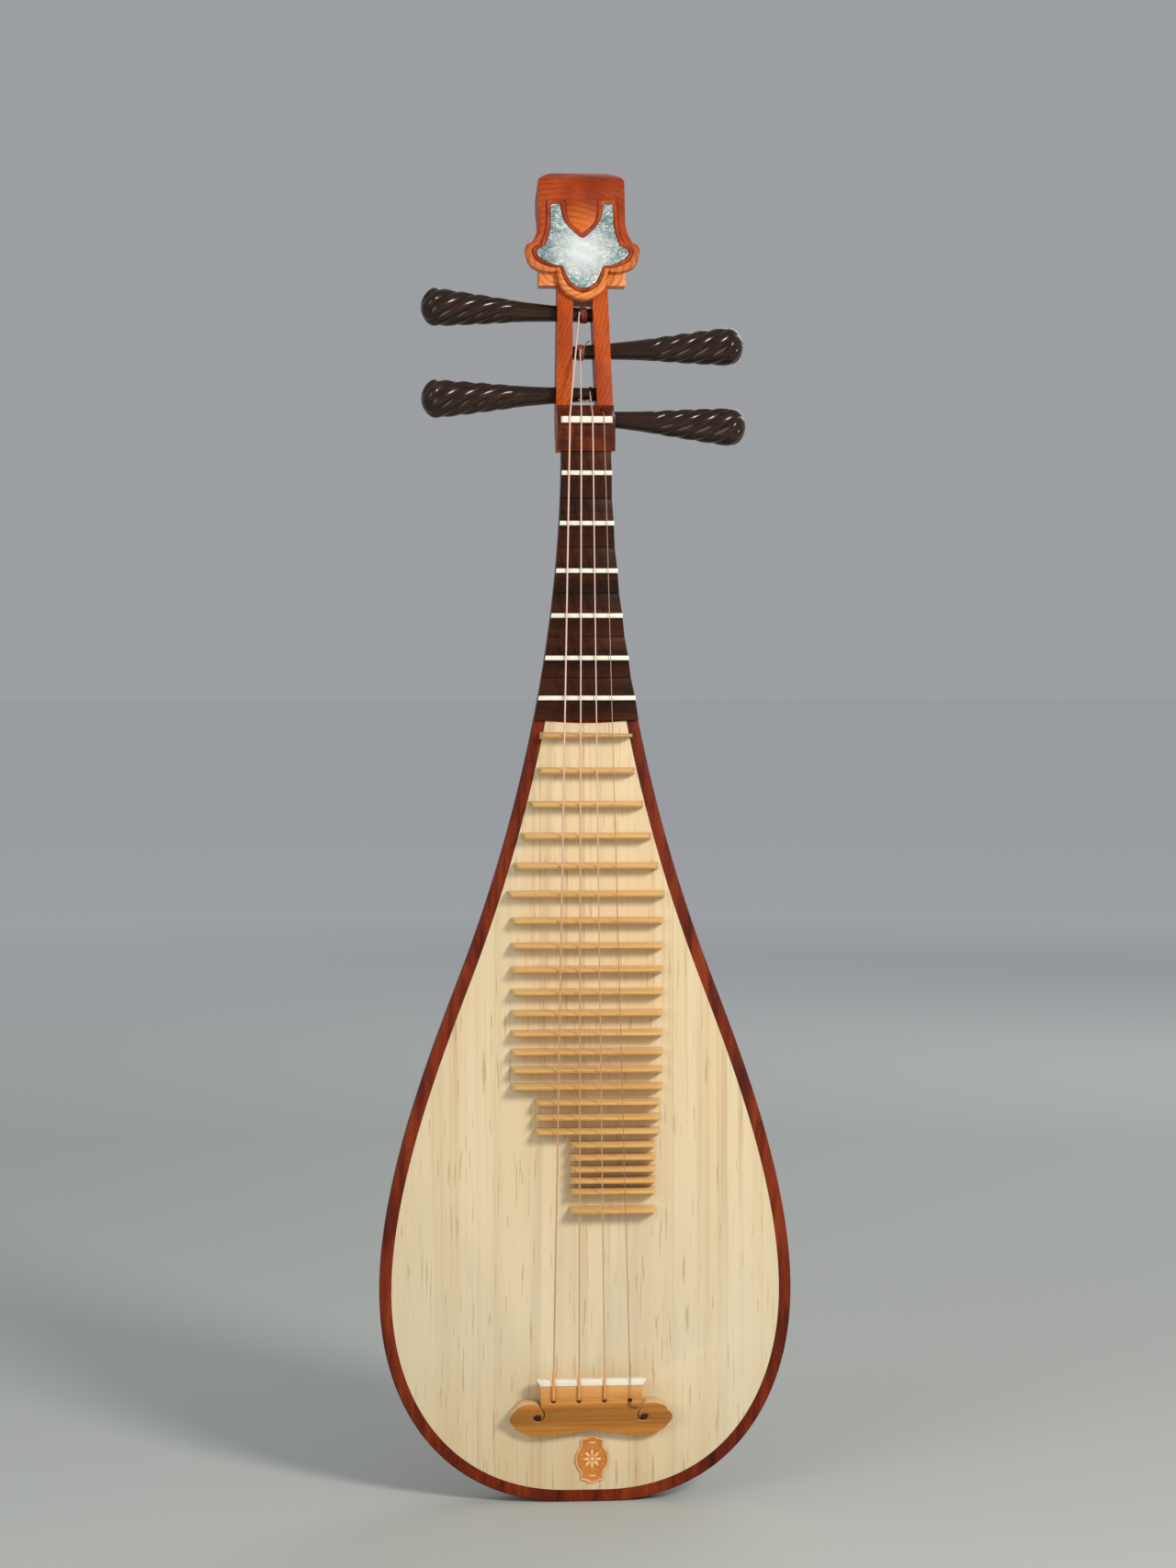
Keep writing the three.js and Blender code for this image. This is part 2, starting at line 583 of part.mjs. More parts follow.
function slotShape() {
  return mirroredShape([point(0, SLOT_BOTTOM), point(slotHalf(SLOT_BOTTOM), SLOT_BOTTOM),
    point(slotHalf(NUT_BLOCK_HEIGHT), NUT_BLOCK_HEIGHT),
    point(slotHalf(SLOT_TOP), SLOT_TOP), point(0, SLOT_TOP)]);
}

function pegbox() {
  const neckFront = toHead(PEGBOX_Y, BODY_LENGTH + GAP);
  const neckBack = toHead(FACE_Y + NECK_DEPTH, BODY_LENGTH + GAP);
  const profile = new THREE.Shape([
    neckFront, neckBack, point(PEGBOX_DEPTH - 1.5, 22), point(PEGBOX_DEPTH, 45),
    point(PEGBOX_DEPTH, 105), point(PEGBOX_DEPTH - 4, PEGBOX_LENGTH), point(0, PEGBOX_LENGTH),
  ]);
  const plan = mirroredShape([point(0, -12), point(NECK_WIDTH / 2, -12), point(NECK_WIDTH / 2, 1),
    point(cheekHalf(0), 6), point(cheekHalf(NUT_BLOCK_HEIGHT), NUT_BLOCK_HEIGHT),
    point(cheekHalf(PEGBOX_LENGTH), PEGBOX_LENGTH), point(0, PEGBOX_LENGTH)]);
  const slot = frontExtrude(slotShape(), -20, PEGBOX_DEPTH + 40);
  return carved(sideExtrude(profile, 2 * PEGBOX_WIDTH), {
    within: [frontExtrude(plan, -20, PEGBOX_DEPTH + 40)],
    cuts: [slot, ...PEGS.map(pegHole), fourthStringHole()],
  });
}

const BLOCK_TOP = BODY_LENGTH + NUT_BLOCK_HEIGHT;

// the fourth string dives through the block behind the nut; both ends of its hole
const HOLE_MOUTH = { back: 3.4, z: NUT_Z + 7.6 };
const HOLE_RADIUS = 1.6;

function fourthStringRoute() {
  const mouth = toHead(FACE_Y + HOLE_MOUTH.back, HOLE_MOUTH.z);
  const { up } = PEGS[3];
  return [new THREE.Vector3(stringXAtNut(3), mouth.x, mouth.y),
    new THREE.Vector3(slotHalf(up) - 3, PEG_DEPTH - PEG_SHAFT_RADIUS - 1.4, up + 1)];
}

function fourthStringHole() {
  const [mouth, end] = fourthStringRoute();
  const along = end.clone().sub(mouth);
  const from = mouth.clone().addScaledVector(along, -0.6);
  const to = mouth.clone().addScaledVector(along, 0.8);
  return roundBar(from, to, HOLE_RADIUS, HOLE_RADIUS, 12);
}

// block under the nut, in the leaning frame of the pegbox
function nutBlock() {
  const nutLow = NUT_Z - NUT_THICKNESS / 2 - 1;
  const nutHigh = NUT_Z + NUT_THICKNESS / 2 + 0.4;
  const front = [[LEDGE_VALLEY + 1, BODY_LENGTH + GAP], [NUT_SEAT, nutLow], [NUT_SEAT, nutHigh],
    [NUT_SEAT - 2, nutHigh + 0.4]].map(([height, z]) => toHead(FACE_Y - height, z));
  const top = toHead(0, BLOCK_TOP).y;
  const backBottom = toHead(PEGBOX_Y, BODY_LENGTH + GAP);
  const profile = new THREE.Shape([point(-GAP, backBottom.y), ...front,
    point(-2.6, top - 2.5), point(-2.2, top), point(-GAP, top)]);
  return carved(sideExtrude(profile, NUT_BLOCK_WIDTH), { cuts: [fourthStringHole()] });
}

function nut() {
  const front = FACE_Y - stringHeight(NUT_Z) + STRING_RADII[0] + GAP;
  const back = FACE_Y - NUT_SEAT - GAP;
  const half = NUT_WIDTH / 2;
  const shape = new THREE.Shape([point(-half, front + 1.5), point(-half + 1.5, front),
    point(half - 1.5, front), point(half, front + 1.5), point(half, back), point(-half, back)]);
  const geometry = new THREE.ExtrudeGeometry(shape, { depth: NUT_THICKNESS, bevelEnabled: false });
  return geometry.translate(0, 0, NUT_Z - NUT_THICKNESS / 2);
}

// ---------------------------------------------------------------- head

// matching points of the inlay's edge and of the plate's edge, up from the plate's tip;
// each list is one smooth run, and runs meet at corners
const HEAD_RUNS = [
  [[[0, 8.8], [0, 0.4]], [[8.6, 13], [12.8, 6]], [[12.7, 19.8], [18, 13.6]],
    [[15.5, 27.3], [19.8, 23.9]]],
  [[[23.6, 28.5], [28.2, 23.2]], [[32.9, 33.9], [39.8, 28]], [[35.6, 38.8], [44.3, 38.8]],
    [[33.5, 41.5], [43.4, 44.4]], [[29, 43.8], [38.8, 47.3]]],
  [[[26, 52], [35.4, 54.5]], [[24.4, 60.3], [33.6, 62]]],
];
// inner edge of a horn of the inlay, from its top to the tip of the tongue between the horns,
// with the direction in which the border grows away from each point
const HORN_TOP = 78.3;
const HORN_OUTER = 24;
const TONGUE = [[17.2, HORN_TOP, -1.3, 1], [13.7, 64, -0.9, 0.4], [4.3, 53, -0.6, 0.8],
  [0, 50.2, 0, 1.15]];

const CURVE_STEPS = 3;          // between two points of a run

// right half of the head's outline, between the inlay's edge (0) and the plate's edge (1)
function headRuns(outward) {
  return HEAD_RUNS.map((run) => run.map(([inner, outer]) =>
    point(mix(inner[0], outer[0], outward), HEAD_TIP + mix(inner[1], outer[1], outward))));
}

// the runs as points along smooth curves; the first starts level, on the centre line
function headHalf(outward) {
  const [first, ...others] = headRuns(outward);
  const mirrored = point(-first[1].x, first[1].y);
  const all = smooth([mirrored, ...first]).slice(CURVE_STEPS);
  for (const run of others) all.push(...smooth([all.at(-1), ...run]).slice(1));
  return all;
}

function smooth(points) {
  return new THREE.SplineCurve(points).getPoints(CURVE_STEPS * (points.length - 1));
}

// ring-shaped outline round the tongue: horns up, tongue down
function hornedShape(outward, grow) {
  const half = headHalf(outward);
  half.push(point(HORN_OUTER + grow, HEAD_TIP + HORN_TOP + grow));
  const tongue = new THREE.SplineCurve(TONGUE.map(([x, z, outX, outZ]) =>
    point(x + grow * outX, HEAD_TIP + z + grow * outZ)));
  half.push(...tongue.getPoints(8));
  return mirroredShape(half);
}

function headPlate() {
  const top = HEAD_ROLL_UP - GAP;
  const half = [...headHalf(1), point(HEAD_WIDTH / 2, top), point(0, top)];
  const plate = frontExtrude(mirroredShape(half), -GAP - HEAD_PLATE_THICKNESS, HEAD_PLATE_THICKNESS);
  const recess = frontExtrude(hornedShape(BORDER_SHARE, BORDER_WIDTH),
    -GAP - HEAD_PLATE_THICKNESS - 1, INLAY_RECESS + 1);
  return carved(plate, { cuts: [recess] });
}

const PLATE_FRONT = -GAP - HEAD_PLATE_THICKNESS;
const RECESS_FLOOR = PLATE_FRONT + INLAY_RECESS - GAP;

function headInlay() {
  const front = PLATE_FRONT - INLAY_RISE;
  return frontExtrude(hornedShape(0, 0), front, RECESS_FLOOR - front);
}

function headBorder() {
  const front = PLATE_FRONT - BORDER_RISE;
  const depth = RECESS_FLOOR - front;
  const outer = frontExtrude(hornedShape(BORDER_SHARE - CLEAR_SHARE, BORDER_WIDTH - GAP), front, depth);
  const inner = frontExtrude(hornedShape(CLEAR_SHARE, GAP), front - 1, depth + 2);
  return carved(outer, { cuts: [inner] });
}

// block behind the plate, notched over the pegbox, rolled back at its top
function headBlock() {
  const roll = HEAD_ROLL_UP;
  const rollBack = PLATE_FRONT + HEAD_ROLL_RADIUS;
  const shape = new THREE.Shape();
  shape.moveTo(0, HEAD_BLOCK_BOTTOM);
  shape.lineTo(HEAD_BLOCK_DEPTH, HEAD_BLOCK_BOTTOM + HEAD_BLOCK_DEPTH * Math.tan(HEAD_LEAN));
  shape.lineTo(HEAD_BLOCK_DEPTH, roll - 22);
  shape.quadraticCurveTo(HEAD_BLOCK_DEPTH + 1, roll - 8, rollBack + HEAD_ROLL_RADIUS - 2, roll - 4);
  shape.absarc(rollBack, roll, HEAD_ROLL_RADIUS, THREE.MathUtils.degToRad(6), Math.PI, false);
  shape.lineTo(0, roll);
  const half = HEAD_WIDTH / 2;
  const side = roll + HEAD_SIDE_RISE;
  const crest = roll + HEAD_CREST_RISE;
  const top = roll + HEAD_ROLL_RADIUS + 1;
  const plan = new THREE.Shape([point(-half, HEAD_BLOCK_BOTTOM - 1), point(half, HEAD_BLOCK_BOTTOM - 1)]);
  plan.lineTo(half, side);
  plan.quadraticCurveTo(half - 2.3, crest - 3.6, HEAD_CREST_HALF, crest);
  plan.lineTo(HEAD_CREST_HALF - 6, top);
  plan.lineTo(-HEAD_CREST_HALF + 6, top);
  plan.lineTo(-HEAD_CREST_HALF, crest);
  plan.quadraticCurveTo(-half + 2.3, crest - 3.6, -half, side);
  const notchHalf = PEGBOX_WIDTH / 2;
  const notch = mirroredShape([point(0, HEAD_BLOCK_BOTTOM - 2),
    point(cheekHalf(HEAD_BLOCK_BOTTOM) + GAP, HEAD_BLOCK_BOTTOM - 2),
    point(cheekHalf(PEGBOX_LENGTH) + 2 * GAP, PEGBOX_LENGTH + GAP), point(0, PEGBOX_LENGTH + GAP)]);
  return carved(sideExtrude(shape, HEAD_WIDTH + notchHalf, 0, 10), {
    within: [frontExtrude(plan, -40, 120)],
    cuts: [frontExtrude(notch, -20, PEGBOX_DEPTH + 40)],
  });
}

// ---------------------------------------------------------------- strings

// round tube through points that run up the instrument
function stringTube(points, radius) {
  const rings = points.map((centre, i) => {
    const before = points[Math.max(i - 1, 0)];
    const after = points[Math.min(i + 1, points.length - 1)];
    const along = after.clone().sub(before).normalize();
    const forward = new THREE.Vector3(1, 0, 0).cross(along).normalize();
    const across = forward.clone().cross(along);
    return Array.from({ length: STRING_SIDES }, (_, k) => {
      const angle = 2 * Math.PI * k / STRING_SIDES;
      return centre.clone().addScaledVector(across, radius * Math.cos(angle))
        .addScaledVector(forward, radius * Math.sin(angle));
    });
  });
  return new LoftGeometry(rings, { capStart: true, capEnd: true });
}

// from its hole in the bridge, over the cap and the nut, to the shaft of its peg
function stringRoute(i) {
  const atBridge = stringXAtBridge(i);
  const atNut = stringXAtNut(i);
  const tieFront = FACE_Y - BRIDGE_FRONT_TOP;
  const capFront = FACE_Y - stringHeight(BRIDGE_TOP);
  const nutFront = FACE_Y - stringHeight(NUT_Z);
  const route = [
    new THREE.Vector3(atBridge, tieFront + 5, TIE_Z - 0.3),
    new THREE.Vector3(atBridge, tieFront + 0.5, TIE_Z),
    new THREE.Vector3(atBridge, tieFront - 1.9, TIE_Z + 2.6),
    new THREE.Vector3(atBridge, capFront - 0.4, CAP_BOTTOM),
    new THREE.Vector3(atBridge, capFront - 0.2, BRIDGE_TOP),
    new THREE.Vector3(atNut, nutFront, NUT_Z - NUT_THICKNESS / 2),
    new THREE.Vector3(atNut, nutFront, NUT_Z + NUT_THICKNESS / 2 + GAP),
  ];
  if (i === 3) {
    const [mouth, end] = fourthStringRoute();
    return [...route, fromHead(...mouth.toArray()), fromHead(...end.toArray())];
  }
  return [...route, fromHead(STRING_ENDS[i], PEG_DEPTH - PEG_SHAFT_RADIUS - 1.4, PEGS[i].up)];
}

// ---------------------------------------------------------------- badge

function badge() {
  const { x, z, height, width, bulge, thickness } = BADGE;
  const half = width / 2;
  const reach = Math.sqrt(bulge ** 2 - half ** 2);
  const turn = Math.atan2(reach, half);
  const shape = new THREE.Shape();
  shape.moveTo(x - half, z - height / 2);
  shape.lineTo(x + half, z - height / 2);
  shape.absarc(x, z, bulge, -turn, turn, false);
  shape.lineTo(x + half, z + height / 2);
  shape.lineTo(x - half, z + height / 2);
  shape.absarc(x, z, bulge, Math.PI - turn, Math.PI + turn, false);
  return frontExtrude(shape, FACE_Y - GAP - thickness, thickness);
}

// ---------------------------------------------------------------- materials

const material = (color, roughness, metalness = 0) =>
  new THREE.MeshStandardMaterial({ color, roughness, metalness });

const redWood = material('#7d2f1a', 0.4);
const darkWood = material('#2c110c', 0.35);
const orangeWood = material('#a64a1c', 0.45);
const paleWood = material('#dcc8a2', 0.6);
const bamboo = material('#c08a3a', 0.45);
const brownBamboo = material('#94602f', 0.45);
const bone = material('#e9e2cf', 0.35);
const shell = material('#c9dadd', 0.25);
const pegWood = material('#1d0f0b', 0.25);
const steel = material('#b9a49a', 0.35, 0.6);
const copper = material('#a8632e', 0.35, 0.9);

// ---------------------------------------------------------------- assembly

const pipa = new THREE.Group();
const head = new THREE.Group();
head.position.set(0, PEGBOX_Y, BODY_LENGTH);
head.rotation.x = -HEAD_LEAN;
pipa.add(head);

function add(parent, name, geometry, look) {
  const mesh = new THREE.Mesh(geometry, look);
  mesh.name = name;
  parent.add(mesh);
  return mesh;
}

add(pipa, 'body_back', bodyBack(), redWood);
add(pipa, 'soundboard', soundboard(), paleWood);
for (const [name, place] of Object.entries(BRACE_PLACES)) {
  add(pipa, name, brace(place * BODY_LENGTH), paleWood);
}
add(pipa, 'sound_post', soundPost(BRACE_PLACES.brace_middle * BODY_LENGTH), paleWood);

for (let number = 1; number <= LEDGE_COUNT; number += 1) {
  add(pipa, `ledge_${number}`, ledge(number), darkWood);
  add(pipa, `ledge_strip_${number}`, ledgeStrip(number), bone);
}
for (let number = 1; number <= FRET_NOTES.length; number += 1) {
  add(pipa, `fret_${number}`, fret(number), bamboo);
}

add(pipa, 'bridge', bridge(), brownBamboo);
add(pipa, 'bridge_cap', bridgeCap(), bone);
add(pipa, 'badge', badge(), copper);
add(pipa, 'nut', nut(), bone);
add(head, 'nut_block', nutBlock(), redWood);
add(head, 'pegbox', pegbox(), orangeWood);
add(head, 'head_block', headBlock(), orangeWood);
add(head, 'head_plate', headPlate(), orangeWood);
add(head, 'head_border', headBorder(), redWood);
add(head, 'head_inlay', headInlay(), shell);

STRING_RADII.forEach((radius, i) => {
  add(pipa, `string_${i + 1}`, stringTube(stringRoute(i), radius), steel);
});

for (const peg of PEGS) {
  const mesh = add(head, peg.name, pegGeometry(), pegWood);
  const rise = THREE.MathUtils.degToRad(peg.rise);
  mesh.position.copy(pegAt(peg, 0));
  mesh.rotation.y = peg.side > 0 ? -rise : Math.PI + rise;
}

export default pipa;
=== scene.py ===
# Pipa: the finished look of a four-string lute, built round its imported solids.
# Metres. +Z runs up the strings, the soundboard faces -Y, +X is to the right in front view.

import bpy
import json
import math
from contextlib import contextmanager
from mathutils import Matrix, Vector


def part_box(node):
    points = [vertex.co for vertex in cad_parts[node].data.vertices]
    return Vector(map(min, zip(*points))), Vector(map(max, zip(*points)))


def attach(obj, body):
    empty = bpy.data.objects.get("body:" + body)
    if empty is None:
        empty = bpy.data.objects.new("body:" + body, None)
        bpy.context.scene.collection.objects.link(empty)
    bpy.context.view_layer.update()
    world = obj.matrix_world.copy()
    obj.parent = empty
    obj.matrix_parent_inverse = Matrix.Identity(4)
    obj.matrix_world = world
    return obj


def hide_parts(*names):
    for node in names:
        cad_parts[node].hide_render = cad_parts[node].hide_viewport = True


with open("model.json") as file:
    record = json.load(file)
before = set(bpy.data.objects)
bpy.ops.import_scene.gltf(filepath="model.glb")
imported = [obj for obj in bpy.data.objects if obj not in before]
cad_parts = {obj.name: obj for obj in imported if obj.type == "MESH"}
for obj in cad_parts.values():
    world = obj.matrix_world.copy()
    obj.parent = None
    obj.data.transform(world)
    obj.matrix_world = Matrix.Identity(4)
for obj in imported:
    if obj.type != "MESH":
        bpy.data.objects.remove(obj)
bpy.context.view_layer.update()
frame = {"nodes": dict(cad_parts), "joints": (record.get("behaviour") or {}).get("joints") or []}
bpy.ops.object.select_all(action="DESELECT")

# ---- sizes and places

MM = 0.001
X_AXIS = Vector((1, 0, 0))
Z_AXIS = Vector((0, 0, 1))

BODY_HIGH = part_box("body_back")[1]
FACE_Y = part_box("soundboard")[0].y           # front plane
BODY_LENGTH = BODY_HIGH.z
HALF_WIDTH = BODY_HIGH.x
WIDEST_Z = 0.201 * BODY_LENGTH
BOWL_DEPTH = BODY_HIGH.y - FACE_Y
NECK_DEPTH = 24 * MM
NECK_HALF = 18.9 * MM
FOOT_HALF = 14 * MM
RIM_WIDTH = 9 * MM
RIM_DEPTH = 16 * MM
NECK_SIDE_DEPTH = 8 * MM
RIM_EDGE = 1.3 * MM                          # rounding of the front edge of the bowl
WALL = 8 * MM
BOARD_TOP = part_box("soundboard")[1].z
BOARD_THICKNESS = 5 * MM
BOARD_SEAT = 5 * MM
BOARD_GAP = 0.12 * MM
BOARD_SAG = 2 * MM
CAVITY_TOP = BOARD_TOP - 35 * MM
BOWL_FULLNESS = 2.3
BOWL_COLUMNS = 24
OUTLINE_STEPS = 44

STRING_RADII = [0.62 * MM, 0.53 * MM, 0.45 * MM, 0.3 * MM]
STRING_ENDS = [-2.3 * MM, -2.2 * MM, 4.6 * MM]   # of strings 1 to 3 on their pegs
STRING_SPREAD_NUT = 8.67 * MM
STRING_SPREAD_BRIDGE = 19.3 * MM
STRING_HEIGHT_NUT = 13 * MM
STRING_HEIGHT_BRIDGE = 22 * MM

BRIDGE_X = 3 * MM
BRIDGE_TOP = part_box("bridge_cap")[1].z
BRIDGE_FRONT_TOP = 20.4 * MM
BRIDGE_FRONT_EAR = 9 * MM
TIE_Z = BRIDGE_TOP - 15.6 * MM
CAP_HEIGHT = 4.7 * MM

NUT_LOW, NUT_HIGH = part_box("nut")
NUT_Z = (NUT_LOW.z + NUT_HIGH.z) / 2
NUT_HALF_THICKNESS = (NUT_HIGH.z - NUT_LOW.z) / 2

HEAD_LEAN = math.radians(15)
PEGBOX_Y = FACE_Y + 2 * MM
HEAD = Matrix.Translation((0, PEGBOX_Y, BODY_LENGTH)) @ Matrix.Rotation(-HEAD_LEAN, 4, "X")
HEAD_BACK = (HEAD.to_3x3() @ Vector((0, 1, 0))).normalized()
HEAD_UP = (HEAD.to_3x3() @ Z_AXIS).normalized()
HEAD_TIP = 121 * MM
HEAD_HALF = 33.5 * MM
HEAD_BLOCK_BOTTOM = 134.8 * MM
HEAD_BLOCK_DEPTH = 24 * MM
CHEEK_TOP = 150.3 * MM                       # top of the notch for the pegbox in the head block
PLATE_THICKNESS = 7 * MM
PLATE_FRONT = -7.3 * MM
ROLL_RADIUS = 24 * MM
ROLL_UP = 209 * MM
INLAY_RECESS = 2 * MM

PEG_SHAFT_RADIUS = 6.3 * MM
PEG_TIP_RADIUS = 4.8 * MM
PEG_NECK_RADIUS = PEG_SHAFT_RADIUS + 2 * MM
PEG_HANDLE = 104 * MM
PEG_RADIUS = 15 * MM
PEG_DOME = 12 * MM
PEG_FLUTED = 76 * MM
PEG_FLUTES = 6
PEG_FLUTE_DEPTH = 2 * MM
PEG_TWIST_PITCH = 84 * MM
PEG_OUTER = 124.8 * MM
PEG_STEM = PEG_OUTER - PEG_HANDLE            # where the handle begins
PEG_FLUTE_START = PEG_OUTER - PEG_FLUTED
PEG_CHAMFER = 0.6 * MM
PEG_TIP = -17.7 * MM

MERGE = 0.002 * MM


def lerp(a, b, t):
    return a + (b - a) * t


def share(value, start, end):
    return min(max((value - start) / (end - start), 0), 1)


# ---- modelling helpers

def select_only(obj):
    bpy.ops.object.select_all(action="DESELECT")
    obj.select_set(True)
    bpy.context.view_layer.objects.active = obj


@contextmanager
def editing(obj, mode="FACE", everything=True):
    """Edit mode on one object, with everything or the picked faces selected."""
    select_only(obj)
    bpy.ops.object.mode_set(mode="EDIT")
    bpy.ops.mesh.select_mode(type=mode)
    if everything:
        bpy.ops.mesh.select_all(action="SELECT")
    yield
    bpy.ops.object.mode_set(mode="OBJECT")


def pick_faces(obj, wanted):
    """Leave only the faces selected whose centre and normal are wanted."""
    with editing(obj):
        bpy.ops.mesh.select_all(action="DESELECT")
    for face in obj.data.polygons:
        face.select = wanted(face.center, face.normal)


def named(obj, name):
    obj.name = name
    obj.data.name = name
    return obj


def front_plane(x, z, y):
    return Vector((x, y, z))


def side_plane(y, z, x):
    return Vector((x, y, z))


def cut_out(name, points, plane, start, depth):
    """A closed outline on a plane, pushed out to a depth as a solid."""
    bpy.ops.mesh.primitive_circle_add(vertices=len(points), fill_type="NGON")
    obj = named(bpy.context.object, name)
    for vertex, (a, b) in zip(obj.data.vertices, points):
        vertex.co = plane(a, b, start)
    push = plane(0, 0, depth)
    with editing(obj):
        bpy.ops.mesh.extrude_region_move(TRANSFORM_OT_translate={"value": push})
        bpy.ops.mesh.select_all(action="SELECT")
        bpy.ops.mesh.remove_doubles(threshold=MERGE)
        bpy.ops.mesh.normals_make_consistent(inside=False)
    return obj


def shaped_grid(name, columns, rows, place):
    """A grid whose points are placed one by one; edges that meet are welded."""
    bpy.ops.mesh.primitive_grid_add(x_subdivisions=columns, y_subdivisions=rows, size=1)
    obj = named(bpy.context.object, name)
    for vertex in obj.data.vertices:
        i = round((vertex.co.x + 0.5) * columns)
        j = round((vertex.co.y + 0.5) * rows)
        vertex.co = place(i, j)
    with editing(obj):
        bpy.ops.mesh.remove_doubles(threshold=MERGE)
        bpy.ops.mesh.dissolve_degenerate(threshold=MERGE)
        bpy.ops.mesh.select_all(action="SELECT")
        bpy.ops.mesh.normals_make_consistent(inside=False)
    return obj


def tube(name, points, radius, sides=12, across=X_AXIS):
    """A closed round tube along points; radius is a number or a function of the step."""
    size = radius if callable(radius) else (lambda step: radius)
    last = len(points) - 1

    def place(i, j):
        step = min(max(j - 1, 0), last)
        centre = points[step]
        if j in (0, last + 2):
            return centre
        along = (points[min(step + 1, last)] - points[max(step - 1, 0)]).normalized()
        first = along.cross(across).normalized()
        second = along.cross(first)
        angle = 2 * math.pi * (i % sides) / sides
        return centre + size(step) * (math.cos(angle) * first + math.sin(angle) * second)

    return shaped_grid(name, sides, last + 2, place)


def merged_copy(node, name):
    """A copy of a CAD solid with shared corners and whole flat faces."""
    mesh = frame["nodes"][node].data.copy()
    mesh.materials.clear()
    obj = bpy.data.objects.new(name, mesh)
    mesh.name = name
    bpy.context.scene.collection.objects.link(obj)
    with editing(obj):
        bpy.ops.mesh.remove_doubles(threshold=MERGE)
        bpy.ops.mesh.dissolve_limited(angle_limit=math.radians(1))
    return obj


def apply_modifier(obj, modifier):
    select_only(obj)
    bpy.ops.object.modifier_apply(modifier=modifier.name)


def soften(obj, width, segments=2, angle=30):
    modifier = obj.modifiers.new("soften", "BEVEL")
    modifier.width = width
    modifier.segments = segments
    modifier.limit_method = "ANGLE"
    modifier.angle_limit = math.radians(angle)
    modifier.use_clamp_overlap = True
    apply_modifier(obj, modifier)


def combine(obj, others, operation="DIFFERENCE"):
    """Cut, join or intersect with other solids, which are used up."""
    for other in others:
        modifier = obj.modifiers.new("combine", "BOOLEAN")
        modifier.operation = operation
        modifier.solver = "EXACT"
        modifier.object = other
        apply_modifier(obj, modifier)
        bpy.data.objects.remove(other)


def drill(radius, start, end, sides=32):
    """A round plug between two points, to cut a hole with."""
    along = end - start
    bpy.ops.mesh.primitive_cylinder_add(vertices=sides, radius=radius, depth=along.length)
    plug = bpy.context.object
    turn = along.to_track_quat("Z", "Y").to_matrix().to_4x4()
    plug.matrix_world = Matrix.Translation((start + end) / 2) @ turn
    bpy.ops.object.transform_apply()
    return plug


def bore(radius, x, z, front, back, sides=32):
    """A plug for a hole straight through from the front."""
    return drill(radius, Vector((x, front, z)), Vector((x, back, z)), sides)


def quarter_curve(steps):
    """Shares across and along a quarter circle, between its ends."""
    turns = [math.pi / 2 * k / steps for k in range(1, steps)]
    return [(1 - math.sin(turn), 1 - math.cos(turn)) for turn in turns]


def into_head(obj):
    """Move a piece from the leaning frame of the pegbox to the object's frame."""
    select_only(obj)
    obj.matrix_world = HEAD
    bpy.ops.object.transform_apply()


def finished(obj, looks, nodes=(), body="root", angle=32):
    """Shade, paint and fasten a piece that stands for the CAD nodes given."""
    looks = looks if isinstance(looks, list) else [looks]
    for look in looks:
        obj.data.materials.append(look)
    select_only(obj)
    bpy.ops.object.shade_smooth_by_angle(angle=math.radians(angle))
    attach(obj, body)
    if nodes:
        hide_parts(*nodes)


def second_look(obj, wanted):
    """Give the wanted faces the second material of their piece."""
    for face in obj.data.polygons:
        if wanted(face.center, face.normal):
            face.material_index = 1


# ---- material helpers

